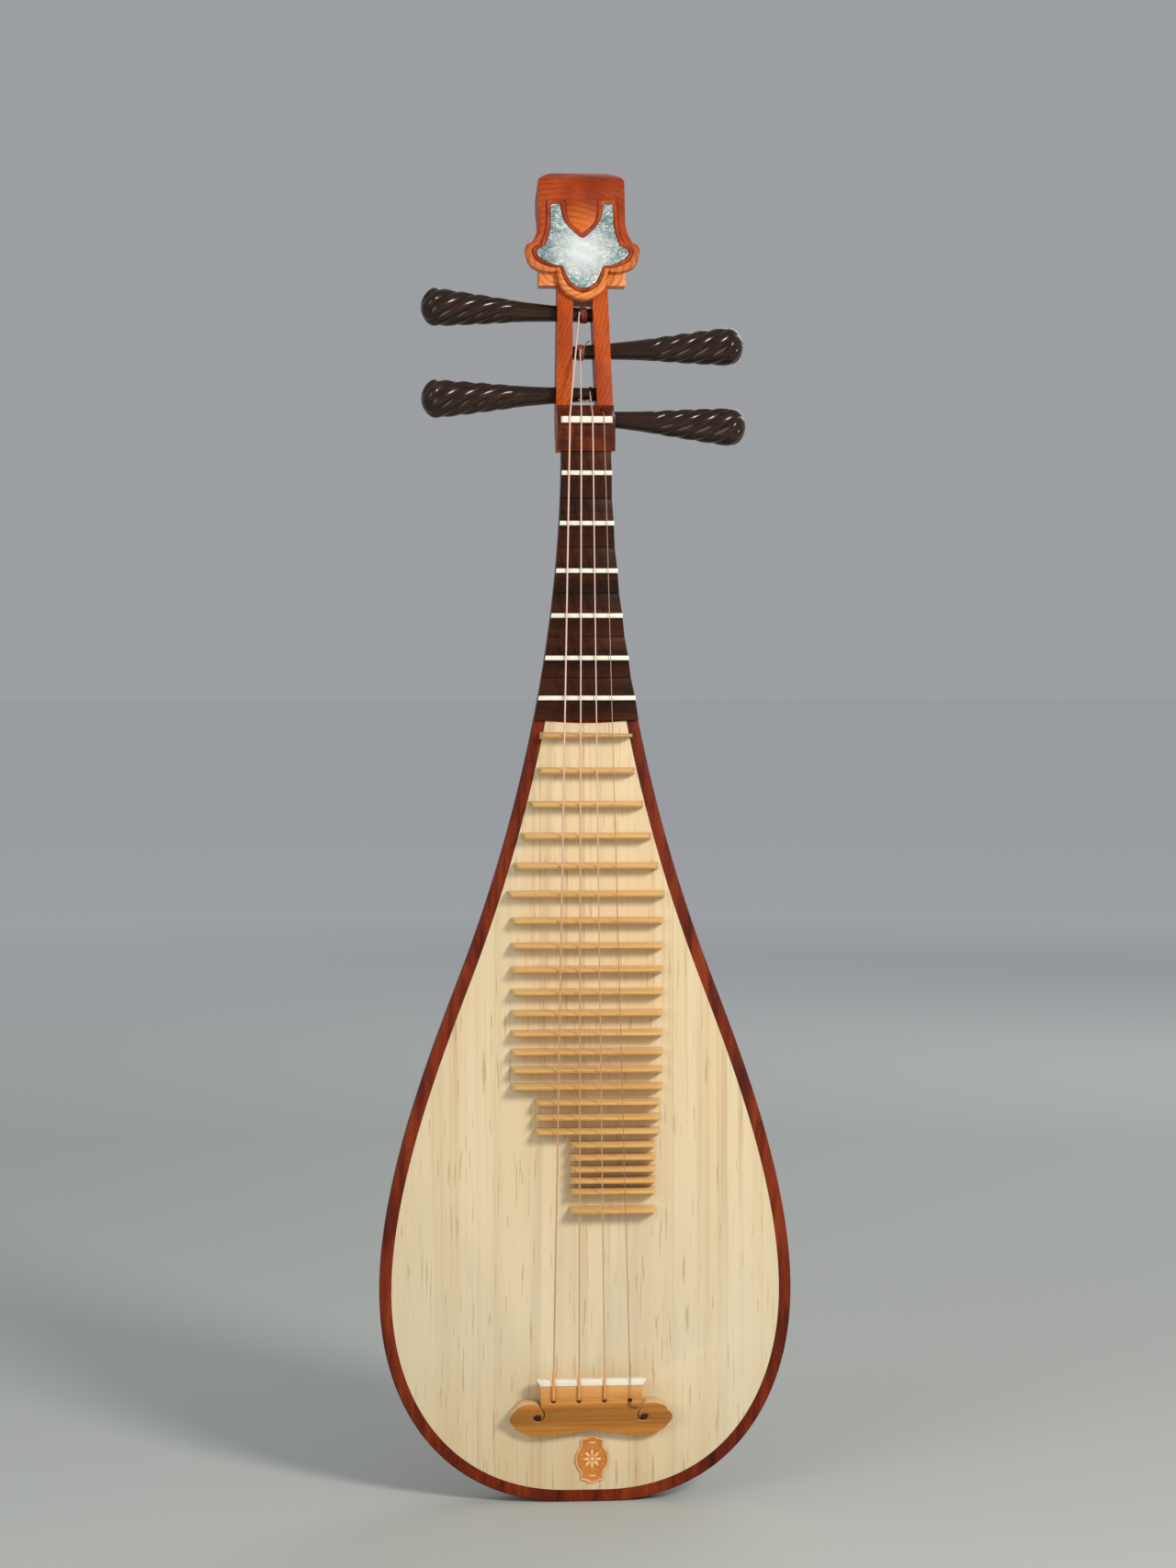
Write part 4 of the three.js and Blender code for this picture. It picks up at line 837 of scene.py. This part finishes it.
def ledges():
    for number in range(1, 7):
        low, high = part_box(f"ledge_{number}")
        ridge_low, ridge_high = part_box(f"ledge_strip_{number}")
        valley = FACE_Y - LEDGE_VALLEY
        steps = [k / LEDGE_STEPS for k in range(LEDGE_STEPS + 1)]
        rise = [(lerp(valley, low.y, t ** LEDGE_CURVE), t) for t in steps]
        profile = [(high.y, low.z)] + [(y, lerp(low.z, ridge_low.z, t)) for y, t in rise]
        profile += [(y, lerp(high.z, ridge_high.z, t)) for y, t in reversed(rise)] + [(high.y, high.z)]
        block = cut_out(f"ledge_block_{number}", profile, side_plane, -0.5, 1)
        fit_to_neck(block)
        soften(block, 0.35 * MM, 2, 40)
        finished(block, LEDGE_WOOD, [f"ledge_{number}"])

        corner = 0.9 * MM
        cap = [(ridge_high.y, ridge_low.z), (ridge_low.y + corner, ridge_low.z)]
        cap += [(ridge_low.y + corner * y, ridge_low.z + corner * z) for y, z in quarter_curve(4)]
        cap += [(y, ridge_low.z + ridge_high.z - z) for y, z in reversed(cap)]
        strip = cut_out(f"ledge_ridge_{number}", cap, side_plane, -0.5, 1)
        fit_to_neck(strip, -0.1 * MM)
        soften(strip, 0.2 * MM, 2, 50)
        finished(strip, BONE, [f"ledge_strip_{number}"])


FRET_RIDGE = 2 * MM
FRET_END_SLOPE = 3 * MM


def frets():
    """Split bamboo bars: shiny skin on the ridge, paler cut flanks, sloping ends."""
    for number in range(1, 25):
        low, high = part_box(f"fret_{number}")
        middle = (low.z + high.z) / 2
        height = high.y - low.y
        shoulder = low.y + 0.12 * height
        flank = lerp(high.y, low.y, 0.45)
        half = (high.z - low.z) / 2
        side = [(high.y, half), (flank, half * 0.8), (shoulder, FRET_RIDGE * 0.62),
                (low.y, FRET_RIDGE * 0.36)]
        profile = [(y, middle - z) for y, z in side] + [(y, middle + z) for y, z in reversed(side)]
        bar = cut_out(f"fret_bar_{number}", profile, side_plane, low.x, high.x - low.x)
        centre = (low.x + high.x) / 2
        for vertex in bar.data.vertices:
            slope = FRET_END_SLOPE * ((high.y - vertex.co.y) / height) ** 1.5
            right = vertex.co.x > centre
            vertex.co.x -= slope if right else -slope
            if number == 1 and right:
                vertex.co.z = lerp(middle, vertex.co.z, 0.5)
        soften(bar, 0.28 * MM, 2, 25)
        finished(bar, [FRET_SIDE, FRET_SKIN], [f"fret_{number}"])
        second_look(bar, lambda centre, normal: normal.y < -0.75)


# ---- bridge

def smooth_run(points, steps=6):
    """Points along a smooth curve through the points given."""
    ends = [points[0], *points, points[-1]]
    run = []
    for a, b, c, d in zip(ends, ends[1:], ends[2:], ends[3:]):
        for k in range(steps):
            t = k / steps
            run.append(tuple(
                0.5 * (2 * b[n] + (c[n] - a[n]) * t + (2 * a[n] - 5 * b[n] + 4 * c[n] - d[n]) * t * t
                       + (3 * b[n] - a[n] - 3 * c[n] + d[n]) * t ** 3) for n in (0, 1)))
    return run + [points[-1]]


# right half of the front outline, in distances from the middle and drops below the upper edge;
# the runs meet at the cusps of the scrolled ear
BRIDGE_RUNS = [
    [(0, 41.2), (9, 41.8), (20, 43.6), (30, 45), (39, 45.4), (46, 44.5), (52.6, 41.9)],
    [(52.6, 41.9), (56.2, 39.8), (58.8, 36.4)],
    [(58.8, 36.4), (61.2, 33.2), (61.7, 29.2), (60, 25.8), (57.4, 23.2)],
    [(57.4, 23.2), (55.4, 20.4), (50.6, 18.4), (45.6, 17.9), (41.4, 18.4), (38.6, 21)],
]
# slit that winds from the notch beside the block down into the eye
BRIDGE_SLIT = [(39.3, 20), (37.2, 22.4), (35.9, 25.4), (35.7, 28.8), (36.7, 31.8), (39, 33.4)]
BRIDGE_EYE = (40.6, 30.2)
BRIDGE_EYE_RADIUS = 3.5 * MM
BRIDGE_HALF = 38.8


def bridge_point(side, place):
    across, drop = place
    return (BRIDGE_X + side * across * MM, BRIDGE_TOP - drop * MM)


def bridge_outline():
    half = []
    for run in BRIDGE_RUNS:
        half += smooth_run(run)[1:]
    cap_bottom = CAP_HEIGHT / MM + 0.1
    half += [(38, 19), (38.1, 13), (BRIDGE_HALF, cap_bottom)]
    right = [bridge_point(1, p) for p in half]
    left = [bridge_point(-1, p) for p in reversed(half)]
    return right + left + [bridge_point(1, (0, 41.2))]


def bridge():
    """Block with a hollowed front that runs out into two scrolled ears."""
    block = cut_out("bridge_block", bridge_outline(), front_plane, FACE_Y - 30 * MM, 29.7 * MM)
    profile = [(FACE_Y, BRIDGE_TOP - 50 * MM), (FACE_Y - 7.6 * MM, BRIDGE_TOP - 50 * MM)]
    for k in range(13):
        t = k / 12
        rise = (1 - math.cos(math.pi * t)) / 2
        height = BRIDGE_TOP - lerp(40, 19, t) * MM
        profile.append((FACE_Y - lerp(BRIDGE_FRONT_EAR, BRIDGE_FRONT_TOP, rise), height))
    profile += [(FACE_Y - BRIDGE_FRONT_TOP, BRIDGE_TOP + MM), (FACE_Y, BRIDGE_TOP + MM)]
    combine(block, [cut_out("side_cut", profile, side_plane, -0.1, 0.2)], "INTERSECT")
    cuts = []
    for side in (-1, 1):
        slit = smooth_run([bridge_point(side, p) for p in BRIDGE_SLIT])
        last = len(slit) - 1
        band = []
        for edge in (1, -1):
            rim = []
            for k, (x, z) in enumerate(slit):
                after, before = slit[min(k + 1, last)], slit[max(k - 1, 0)]
                along = Vector((after[0] - before[0], after[1] - before[1])).normalized()
                half = lerp(0.3, 0.65, k / last) * MM
                rim.append((x + edge * along.y * half, z - edge * along.x * half))
            band += rim if edge == 1 else rim[::-1]
        cuts.append(cut_out("slit", band, front_plane, FACE_Y - 30 * MM, 40 * MM))
        x, z = bridge_point(side, BRIDGE_EYE)
        cuts.append(bore(BRIDGE_EYE_RADIUS, x, z, FACE_Y - 30 * MM, FACE_Y + 9 * MM))
    front = FACE_Y - BRIDGE_FRONT_TOP
    for i in range(4):
        cuts.append(bore(1.9 * MM, string_x(i, True), TIE_Z - 0.6 * MM, front - MM, front + 8 * MM, 20))
    combine(block, cuts)
    soften(block, 0.35 * MM, 2, 42)
    finished(block, [BRIDGE_SKIN, BRIDGE_SIDE], ["bridge"])
    second_look(block, lambda centre, normal: normal.y > -0.45)


def bridge_cap():
    cap = merged_copy("bridge_cap", "bridge_cap_bone")
    soften(cap, 0.5 * MM, 3)
    finished(cap, BONE, ["bridge_cap"])


# ---- strings

def string_x(i, at_bridge):
    if at_bridge:
        return BRIDGE_X + (i - 1.5) * STRING_SPREAD_BRIDGE
    return (i - 1.5) * STRING_SPREAD_NUT


PEG_JOINTS = {joint["child"]: joint for joint in frame["joints"]}


def peg_frame(number):
    """A peg's place on the centre plane, its direction out to the handle, and two directions across it."""
    joint = PEG_JOINTS[f"peg_{number}"]
    along = Vector(joint["axis"]).normalized()
    back = (HEAD_BACK - along * HEAD_BACK.dot(along)).normalized()
    return Vector(joint["pos_m"]), along, back, along.cross(back)


def head_up_of(number):
    return (Vector(PEG_JOINTS[f"peg_{number}"]["pos_m"]) - HEAD.translation).dot(HEAD_UP)


def shaft_front(number, x):
    """Where a string lies on the front of a peg's shaft."""
    return HEAD @ Vector((x, 15 * MM - PEG_SHAFT_RADIUS - STRING_RADII[number - 1], head_up_of(number)))


def rounded(points, reach=2.2 * MM, steps=5):
    """The points with their corners turned into short curves."""
    result = [points[0]]
    for before, corner, after in zip(points, points[1:], points[2:]):
        cut = min(reach, (corner - before).length * 0.45, (after - corner).length * 0.45)
        start = corner + (before - corner).normalized() * cut
        end = corner + (after - corner).normalized() * cut
        for k in range(steps + 1):
            t = k / steps
            result.append(start * (1 - t) ** 2 + corner * 2 * t * (1 - t) + end * t * t)
    return result + [points[-1]]


def string_route(i):
    """From its hole in the bridge, over the cap and the nut, to its peg."""
    low, high = string_x(i, True), string_x(i, False)
    tie = FACE_Y - BRIDGE_FRONT_TOP
    cap = FACE_Y - STRING_HEIGHT_BRIDGE
    nut = FACE_Y - STRING_HEIGHT_NUT
    route = [Vector(place) for place in (
        (low, tie + 5 * MM, TIE_Z), (low, tie + 0.4 * MM, TIE_Z + 0.5 * MM),
        (low, tie - 1.9 * MM, TIE_Z + 2.6 * MM),
        (low, cap - 0.4 * MM, BRIDGE_TOP - CAP_HEIGHT), (low, cap - 0.2 * MM, BRIDGE_TOP),
        (high, nut, NUT_Z - NUT_HALF_THICKNESS), (high, nut, NUT_Z + NUT_HALF_THICKNESS))]
    if i == 3:
        mouth = Vector((high, FACE_Y + 3.4 * MM, NUT_Z + 7.6 * MM))
        inside = HEAD @ Vector((6.6 * MM, 15 * MM - PEG_SHAFT_RADIUS - 1.4 * MM, head_up_of(4)))
        return route + [mouth, inside]
    return route + [shaft_front(i + 1, STRING_ENDS[i])]


def strings():
    for i, radius in enumerate(STRING_RADII):
        line = tube(f"string_line_{i + 1}", rounded(string_route(i)), radius, 14)
        finished(line, THIN_STRING_LOOK if i == 3 else STRING_LOOK, [f"string_{i + 1}"], angle=60)


def silk_wraps():
    """Orange silk round the first three strings, from their holes to just above the bridge."""
    for i, radius in enumerate((1.15 * MM, 0.95 * MM, 0.8 * MM)):
        route = string_route(i)[1:5]
        upper = string_route(i)[5]
        route.append(route[-1] + (upper - route[-1]).normalized() * 8 * MM)
        fine = []
        for a, b in zip(route, route[1:]):
            count = max(int((b - a).length / (0.22 * MM)), 1)
            fine += [a.lerp(b, k / count) for k in range(count)]
        last = len(fine) - 1

        def thickness(step, radius=radius, last=last):
            turn = 0.5 + 0.5 * math.sin(step * 2 * math.pi / 4)
            taper = 1 - 0.35 * share(step, last - 20, last)
            return radius * taper * (0.86 + 0.14 * turn)

        wrap = tube(f"silk_wrap_{i + 1}", fine, thickness, 12)
        finished(wrap, SILK, angle=60)


def bridge_tail():
    """The free end of the fourth string, curled out of its hole towards the ear."""
    hole = Vector((string_x(3, True), FACE_Y - BRIDGE_FRONT_TOP, TIE_Z))
    points = [hole + Vector(step) * MM for step in (
        (0, 3, 0), (-0.6, -0.5, -0.2), (-0.9, -1.4, -1.8),
        (0.4, -1.6, -4.2), (3, -1.2, -5.6), (6.4, -0.4, -5.7))]
    tail = tube("string_tail_bridge", rounded(points, 1.5 * MM), 0.38 * MM, 10)
    finished(tail, STEEL_TAIL, angle=60)


# for each peg: where its turns begin, how many there are, and the free end after them;
# millimetres to the right, up and forward
WINDINGS = [
    (-1.2, 4, [(-0.6, 1.6, 1.0), (-2.6, 1.0, 1.4), (-5.2, -1.4, 1.2), (-6.6, -2.6, 0.6)]),
    (-3.8, 4, [(0.8, 2.4, 0.4), (1.6, 4.6, 0.0), (3.2, 6.4, -0.4), (4.6, 7.4, 0.4)]),
    (4.4, 3, [(0.4, -2.6, 0.6), (-1.6, -6.2, 0.2), (-5.4, -7.4, 0.8), (-9.6, -7.0, 0.0), (-11.4, -6.2, 1.0)]),
    (5.2, 3, [(0.2, 1.6, 0.8), (-0.6, 3.0, 0.4)]),
]


def shaft_distance(number, place):
    """How far a place is from the axis of a peg, in radii of its shaft."""
    centre, along = peg_frame(number)[:2]
    away = place - centre
    return (away - along * away.dot(along)).length / PEG_SHAFT_RADIUS


def windings():
    """Turns of each string round its peg, and its short free end, which turn with the peg."""
    for number, (start, turns, free_end) in enumerate(WINDINGS, 1):
        radius = STRING_RADII[number - 1] * 0.95
        centre, along = peg_frame(number)[:2]
        side = 1 if along.x > 0 else -1
        steps = 18
        points = []
        for k in range(turns * steps + 1):
            x = start * MM + k / steps * 2.1 * radius
            angle = 2 * math.pi * k / steps
            reach = shaft_radius(x * side) + radius
            turn = -math.cos(angle) * HEAD_BACK + math.sin(angle) * HEAD_UP
            points.append(centre + along * x * side + reach * turn)
        end = points[-1]
        tail = [end] + [end + (right * X_AXIS + up * HEAD_UP - forward * HEAD_BACK) * MM
                        for right, up, forward in free_end]
        points += rounded(tail, 1.2 * MM, 4)[1:]
        coil = tube(f"string_winding_{number}", points, radius, 8, across=along)
        # the turns take the first, darker look, which on string 1 is painted shade; the free ends of strings
        # 1 and 3 take the pale look
        looks = [WINDING_LOOKS[number - 1], WINDING_PALE]
        finished(coil, looks, body=f"peg_{number}", angle=60)
        if number in (1, 3):
            second_look(coil, lambda centre, normal: (centre - end).length > 2 * MM
                        and (centre - end).dot(X_AXIS) < 0.3 * MM and shaft_distance(number, centre) > 1.3)


# ---- nut and pegbox

def nut():
    piece = merged_copy("nut", "nut_bone")
    notches = []
    for i, radius in enumerate(STRING_RADII):
        x, y = string_x(i, False), FACE_Y - STRING_HEIGHT_NUT
        low, high = Vector((x, y, NUT_LOW.z - MM)), Vector((x, y, NUT_HIGH.z + MM))
        notches.append(drill(radius + 0.35 * MM, low, high, 16))
    soften(piece, 0.5 * MM, 3)
    combine(piece, notches)
    finished(piece, BONE, ["nut"])


def nut_block():
    block = merged_copy("nut_block", "nut_block_wood")
    soften(block, 0.7 * MM, 3)
    finished(block, NUT_BLOCK_WOOD, ["nut_block"])


def pegbox():
    cheeks = merged_copy("pegbox", "pegbox_cheeks")
    soften(cheeks, 0.6 * MM, 2, 40)
    finished(cheeks, CHEEK_WOOD, ["pegbox"])


# ---- pegs

def shaft_radius(x):
    return lerp(PEG_SHAFT_RADIUS, PEG_TIP_RADIUS, share(x, PEG_STEM, PEG_TIP))


def peg_radius(x):
    from_end = PEG_OUTER - x
    if from_end < PEG_DOME:
        return PEG_RADIUS * math.sqrt(max(1 - (1 - from_end / PEG_DOME) ** 2, 0))
    if from_end < PEG_FLUTED:
        return lerp(PEG_RADIUS, PEG_NECK_RADIUS, share(from_end, PEG_DOME, PEG_FLUTED) ** 1.15)
    if from_end < PEG_HANDLE:
        return lerp(PEG_NECK_RADIUS, PEG_SHAFT_RADIUS, share(from_end, PEG_FLUTED, PEG_HANDLE) ** 0.8)
    return shaft_radius(x)


def pegs():
    """Turned pegs with rope-like ribs wound round a rounded handle."""
    sides = 96
    places = [PEG_TIP, PEG_TIP, PEG_TIP + PEG_CHAMFER, 0, PEG_STEM]
    places += [lerp(PEG_STEM, PEG_FLUTE_START, k / 10) for k in range(1, 11)]
    places += [lerp(PEG_FLUTE_START, PEG_OUTER - PEG_DOME, k / 64) for k in range(1, 65)]
    places += [PEG_OUTER - PEG_DOME * (1 - math.sin(math.pi / 2 * k / 16)) for k in range(1, 17)]

    def ring(j, angle):
        x = places[j]
        if j in (0, len(places) - 1):
            return x, 0.0, 0.0
        radius = peg_radius(x) - (PEG_CHAMFER if j == 1 else 0)
        run = share(x, PEG_FLUTE_START, PEG_FLUTE_START + 12 * MM)
        twist = -2 * math.pi * max(x - PEG_FLUTE_START, 0) / PEG_TWIST_PITCH
        rib = abs(math.cos(PEG_FLUTES / 2 * angle))
        radius -= PEG_FLUTE_DEPTH * run * radius / PEG_RADIUS * (1 - rib ** 0.8)
        return x, radius * math.cos(angle + twist), radius * math.sin(angle + twist)

    for number in range(1, 5):
        centre, along, back, third = peg_frame(number)

        def place(i, j):
            x, deep, high = ring(j, 2 * math.pi * (i % sides) / sides)
            return centre + along * x + back * deep + third * high

        peg = shaped_grid(f"peg_turned_{number}", sides, len(places) - 1, place)
        finished(peg, PEG_WOOD, [f"peg_{number}"], body=f"peg_{number}", angle=50)


# ---- head

# matching points of the inlay's edge and of the plate's edge, up from the plate's tip, in millimetres;
# each list is one smooth run, and runs meet at corners
HEAD_RUNS = [
    [[(0, 8.8), (0, 0.4)], [(8.6, 13), (12.8, 6)], [(12.7, 19.8), (18, 13.6)],
     [(15.5, 27.3), (19.8, 23.9)]],
    [[(23.6, 28.5), (28.2, 23.2)], [(32.9, 33.9), (39.8, 28)], [(35.6, 38.8), (44.3, 38.8)],
     [(33.5, 41.5), (43.4, 44.4)], [(29, 43.8), (38.8, 47.3)]],
    [[(26, 52), (35.4, 54.5)], [(24.4, 60.3), (33.6, 62)]],
]
HORN_TOP = 78.3
HORN_OUTER = 24
TONGUE = [(17.2, HORN_TOP, -1.3, 1), (13.7, 64, -0.9, 0.4), (4.3, 53, -0.6, 0.8), (0, 50.2, 0, 1.15)]
BORDER_SHARE = 0.42
CLEAR_SHARE = 0.03
BORDER_WIDTH = 3.6


def head_half(outward_share):
    """Right half of the head's outline, between the inlay's edge (0) and the plate's edge (1)."""
    runs = [[(lerp(a[0], b[0], outward_share), lerp(a[1], b[1], outward_share)) for a, b in run]
            for run in HEAD_RUNS]
    first = [(-runs[0][1][0], runs[0][1][1]), *runs[0]]
    points = smooth_run(first)[6:]
    for run in runs[1:]:
        points += smooth_run([points[-1], *run])[1:]
    return points


def in_head(points):
    """Both halves of an outline given in millimetres from the plate's tip."""
    half = [(x * MM, HEAD_TIP + up * MM) for x, up in points]
    return half + [(-x, up) for x, up in reversed(half) if x > MERGE]


def horned(outward_share, grow):
    """Closed outline round the tongue: two horns up, the tongue down between them."""
    half = head_half(outward_share)
    half.append((HORN_OUTER + grow, HORN_TOP + grow))
    half += smooth_run([(x + grow * a, up + grow * b) for x, up, a, b in TONGUE])
    return in_head(half)


# where the head's side turns into its level top: from the middle, and above the centre of the roll
HEAD_SHOULDER = [(33.5, 11.6), (32.2, 13.6), (29.8, 16), (26.2, 18.7), (22, 21), (17, 22.7), (12, 25.2)]


def head_carving():
    """Plate and rolled block, carved from one piece of wood."""
    roll_back = PLATE_FRONT + ROLL_RADIUS
    deep = HEAD_BLOCK_DEPTH
    profile = [(0, HEAD_BLOCK_BOTTOM), (deep, HEAD_BLOCK_BOTTOM + deep * math.tan(HEAD_LEAN)),
               (deep, ROLL_UP - 22 * MM), (deep + 4 * MM, ROLL_UP - 12 * MM),
               (deep + 12 * MM, ROLL_UP - 5 * MM), (roll_back + ROLL_RADIUS - 1.5 * MM, ROLL_UP - 2 * MM)]
    for k in range(41):
        angle = math.radians(lerp(4, 180, k / 40))
        profile.append((roll_back + ROLL_RADIUS * math.cos(angle), ROLL_UP + ROLL_RADIUS * math.sin(angle)))
    profile += [(PLATE_FRONT, ROLL_UP - 14 * MM), (0, ROLL_UP - 14 * MM)]
    block = cut_out("head_carving", profile, side_plane, -HEAD_HALF, 2 * HEAD_HALF)

    plan = [(HEAD_HALF + MM, HEAD_BLOCK_BOTTOM - MM), (HEAD_HALF + MM, ROLL_UP + 11.8 * MM)]
    plan += [(x * MM, ROLL_UP + rise * MM) for x, rise in smooth_run(HEAD_SHOULDER)]
    plan += [(-x, z) for x, z in reversed(plan)]
    combine(block, [cut_out("front_cut", plan, front_plane, -40 * MM, 120 * MM)], "INTERSECT")
    (low, bottom), (high, top) = (19.25 * MM, HEAD_BLOCK_BOTTOM - 2 * MM), (19.3 * MM, CHEEK_TOP)
    notch = [(low, bottom), (high, top), (-high, top), (-low, bottom)]
    combine(block, [cut_out("notch", notch, front_plane, -20 * MM, 70 * MM)])

    outline = in_head([*head_half(1), (HEAD_HALF / MM, 76), (HEAD_HALF / MM, (ROLL_UP - HEAD_TIP) / MM - 4)])
    thickness = PLATE_THICKNESS - 1.2 * MM
    plate = cut_out("plate", outline, front_plane, -0.3 * MM - thickness, thickness)
    pick_faces(plate, lambda centre, normal: normal.y < -0.9)
    with editing(plate, everything=False):
        bpy.ops.mesh.inset(thickness=1.9 * MM, depth=1.2 * MM, use_boundary=True)
    combine(block, [plate], "UNION")
    border = horned(BORDER_SHARE, BORDER_WIDTH)
    combine(block, [cut_out("recess", border, front_plane, PLATE_FRONT - MM, INLAY_RECESS + MM)])
    soften(block, 0.3 * MM, 2, 40)
    into_head(block)
    finished(block, HEAD_CARVED_WOOD, ["head_block", "head_plate"])


def head_moulding():
    """Red half-round moulding that frames the inlay."""
    inner = horned(CLEAR_SHARE, 0.2)
    outer = horned(BORDER_SHARE - CLEAR_SHARE, BORDER_WIDTH - 0.2)
    floor_y = PLATE_FRONT + INLAY_RECESS - 0.2 * MM
    crown = PLATE_FRONT - 1.6 * MM
    spring = PLATE_FRONT - 0.2 * MM
    section = [(0, floor_y), (0, spring)]
    for k in range(1, 8):
        turn = math.pi * k / 8
        section.append((0.5 - 0.5 * math.cos(turn), lerp(spring, crown, math.sin(turn))))
    section += [(1, spring), (1, floor_y)]
    count = len(inner)

    def place(i, j):
        across, y = section[i % len(section)]
        (x0, z0), (x1, z1) = inner[j % count], outer[j % count]
        return Vector((lerp(x0, x1, across), y, lerp(z0, z1, across)))

    ring = shaped_grid("head_moulding", len(section), count, place)
    into_head(ring)
    finished(ring, BORDER_WOOD, ["head_border"], angle=60)


def head_shell():
    front = PLATE_FRONT - 0.6 * MM
    inlay = cut_out("head_shell", horned(0, 0), front_plane, front, INLAY_RECESS + 0.3 * MM)
    soften(inlay, 0.3 * MM, 2, 50)
    into_head(inlay)
    finished(inlay, SHELL, ["head_inlay"])


# ---- badge

BADGE_X = 4.6
BADGE_Z = 32.5
BADGE_BULGE = 12.6
BADGE_BAR = 12.6                             # from the middle to the short bars above and below
PETAL_HEIGHT = 0.42


def badge():
    """Stamped plate with a raised rim and a plain eight-petal rosette."""
    half = [(0, 18.1), (1.8, 17.8), (3.6, 16.6), (6, 15.9), (8, 15.6), (8.6, 14.6), (8.4, 12), (8.4, 9.8)]
    for k in range(1, 12):
        angle = math.radians(lerp(48, -48, k / 12))
        half.append((BADGE_BULGE * math.cos(angle), BADGE_BULGE * math.sin(angle)))
    half += [(x, -z) for x, z in reversed(half[:8])]
    outline = [((BADGE_X + x) * MM, (BADGE_Z + z) * MM) for x, z in half]
    outline += [((BADGE_X - x) * MM, (BADGE_Z + z) * MM) for x, z in half[-2:0:-1]]
    front = FACE_Y - 1.7 * MM
    plate = cut_out("badge_plate", outline, front_plane, front, 1.4 * MM)
    pick_faces(plate, lambda centre, normal: normal.y < -0.9)
    with editing(plate, everything=False):
        bpy.ops.mesh.inset(thickness=0.9 * MM, depth=0)
        bpy.ops.mesh.inset(thickness=0.25 * MM, depth=-0.5 * MM)
    soften(plate, 0.15 * MM, 2, 25)
    finished(plate, [BADGE_LOW, BADGE_HIGH], ["badge"])
    second_look(plate, lambda centre, normal: centre.y < front + 0.15 * MM and normal.y < -0.5)

    middle = Vector((BADGE_X * MM, front + 0.45 * MM, BADGE_Z * MM))
    # distance from the middle, direction, turn, length and width, in millimetres
    spots = [(0, 0, 0, 1.5, 1.5)]
    spots += [(4.6, math.pi * k / 4, math.pi * k / 4, 2.5, 1.1) for k in range(8)]
    spots += [(8.9, math.pi * k / 8, math.pi * k / 8, PETAL_HEIGHT, PETAL_HEIGHT) for k in range(16)]
    spots += [(BADGE_BAR, way * math.pi / 2, 0, 1.7 * 1.6, 0.7) for way in (1, -1)]
    petals = []
    for reach, angle, turn, long, wide in spots:
        bpy.ops.mesh.primitive_uv_sphere_add(segments=16, ring_count=8, radius=1)
        petal = bpy.context.object
        shape = Matrix.Rotation(-turn, 4, "Y") @ Matrix.Diagonal((long * MM, PETAL_HEIGHT * MM, wide * MM, 1))
        place = middle + Vector((math.cos(angle), 0, math.sin(angle))) * reach * MM
        petal.matrix_world = Matrix.Translation(place) @ shape
        bpy.ops.object.transform_apply()
        petals.append(petal)
    select_only(petals[0])
    for petal in petals:
        petal.select_set(True)
    bpy.ops.object.join()
    rosette = named(petals[0], "badge_rosette")
    finished(rosette, BADGE_HIGH, angle=60)


# ---- making

floor()
bowl()
soundboard()
inner_parts()
ledges()
frets()
bridge()
bridge_cap()
silk_wraps()
bridge_tail()
strings()
windings()
nut()
nut_block()
pegbox()
pegs()
head_carving()
head_moulding()
head_shell()
badge()
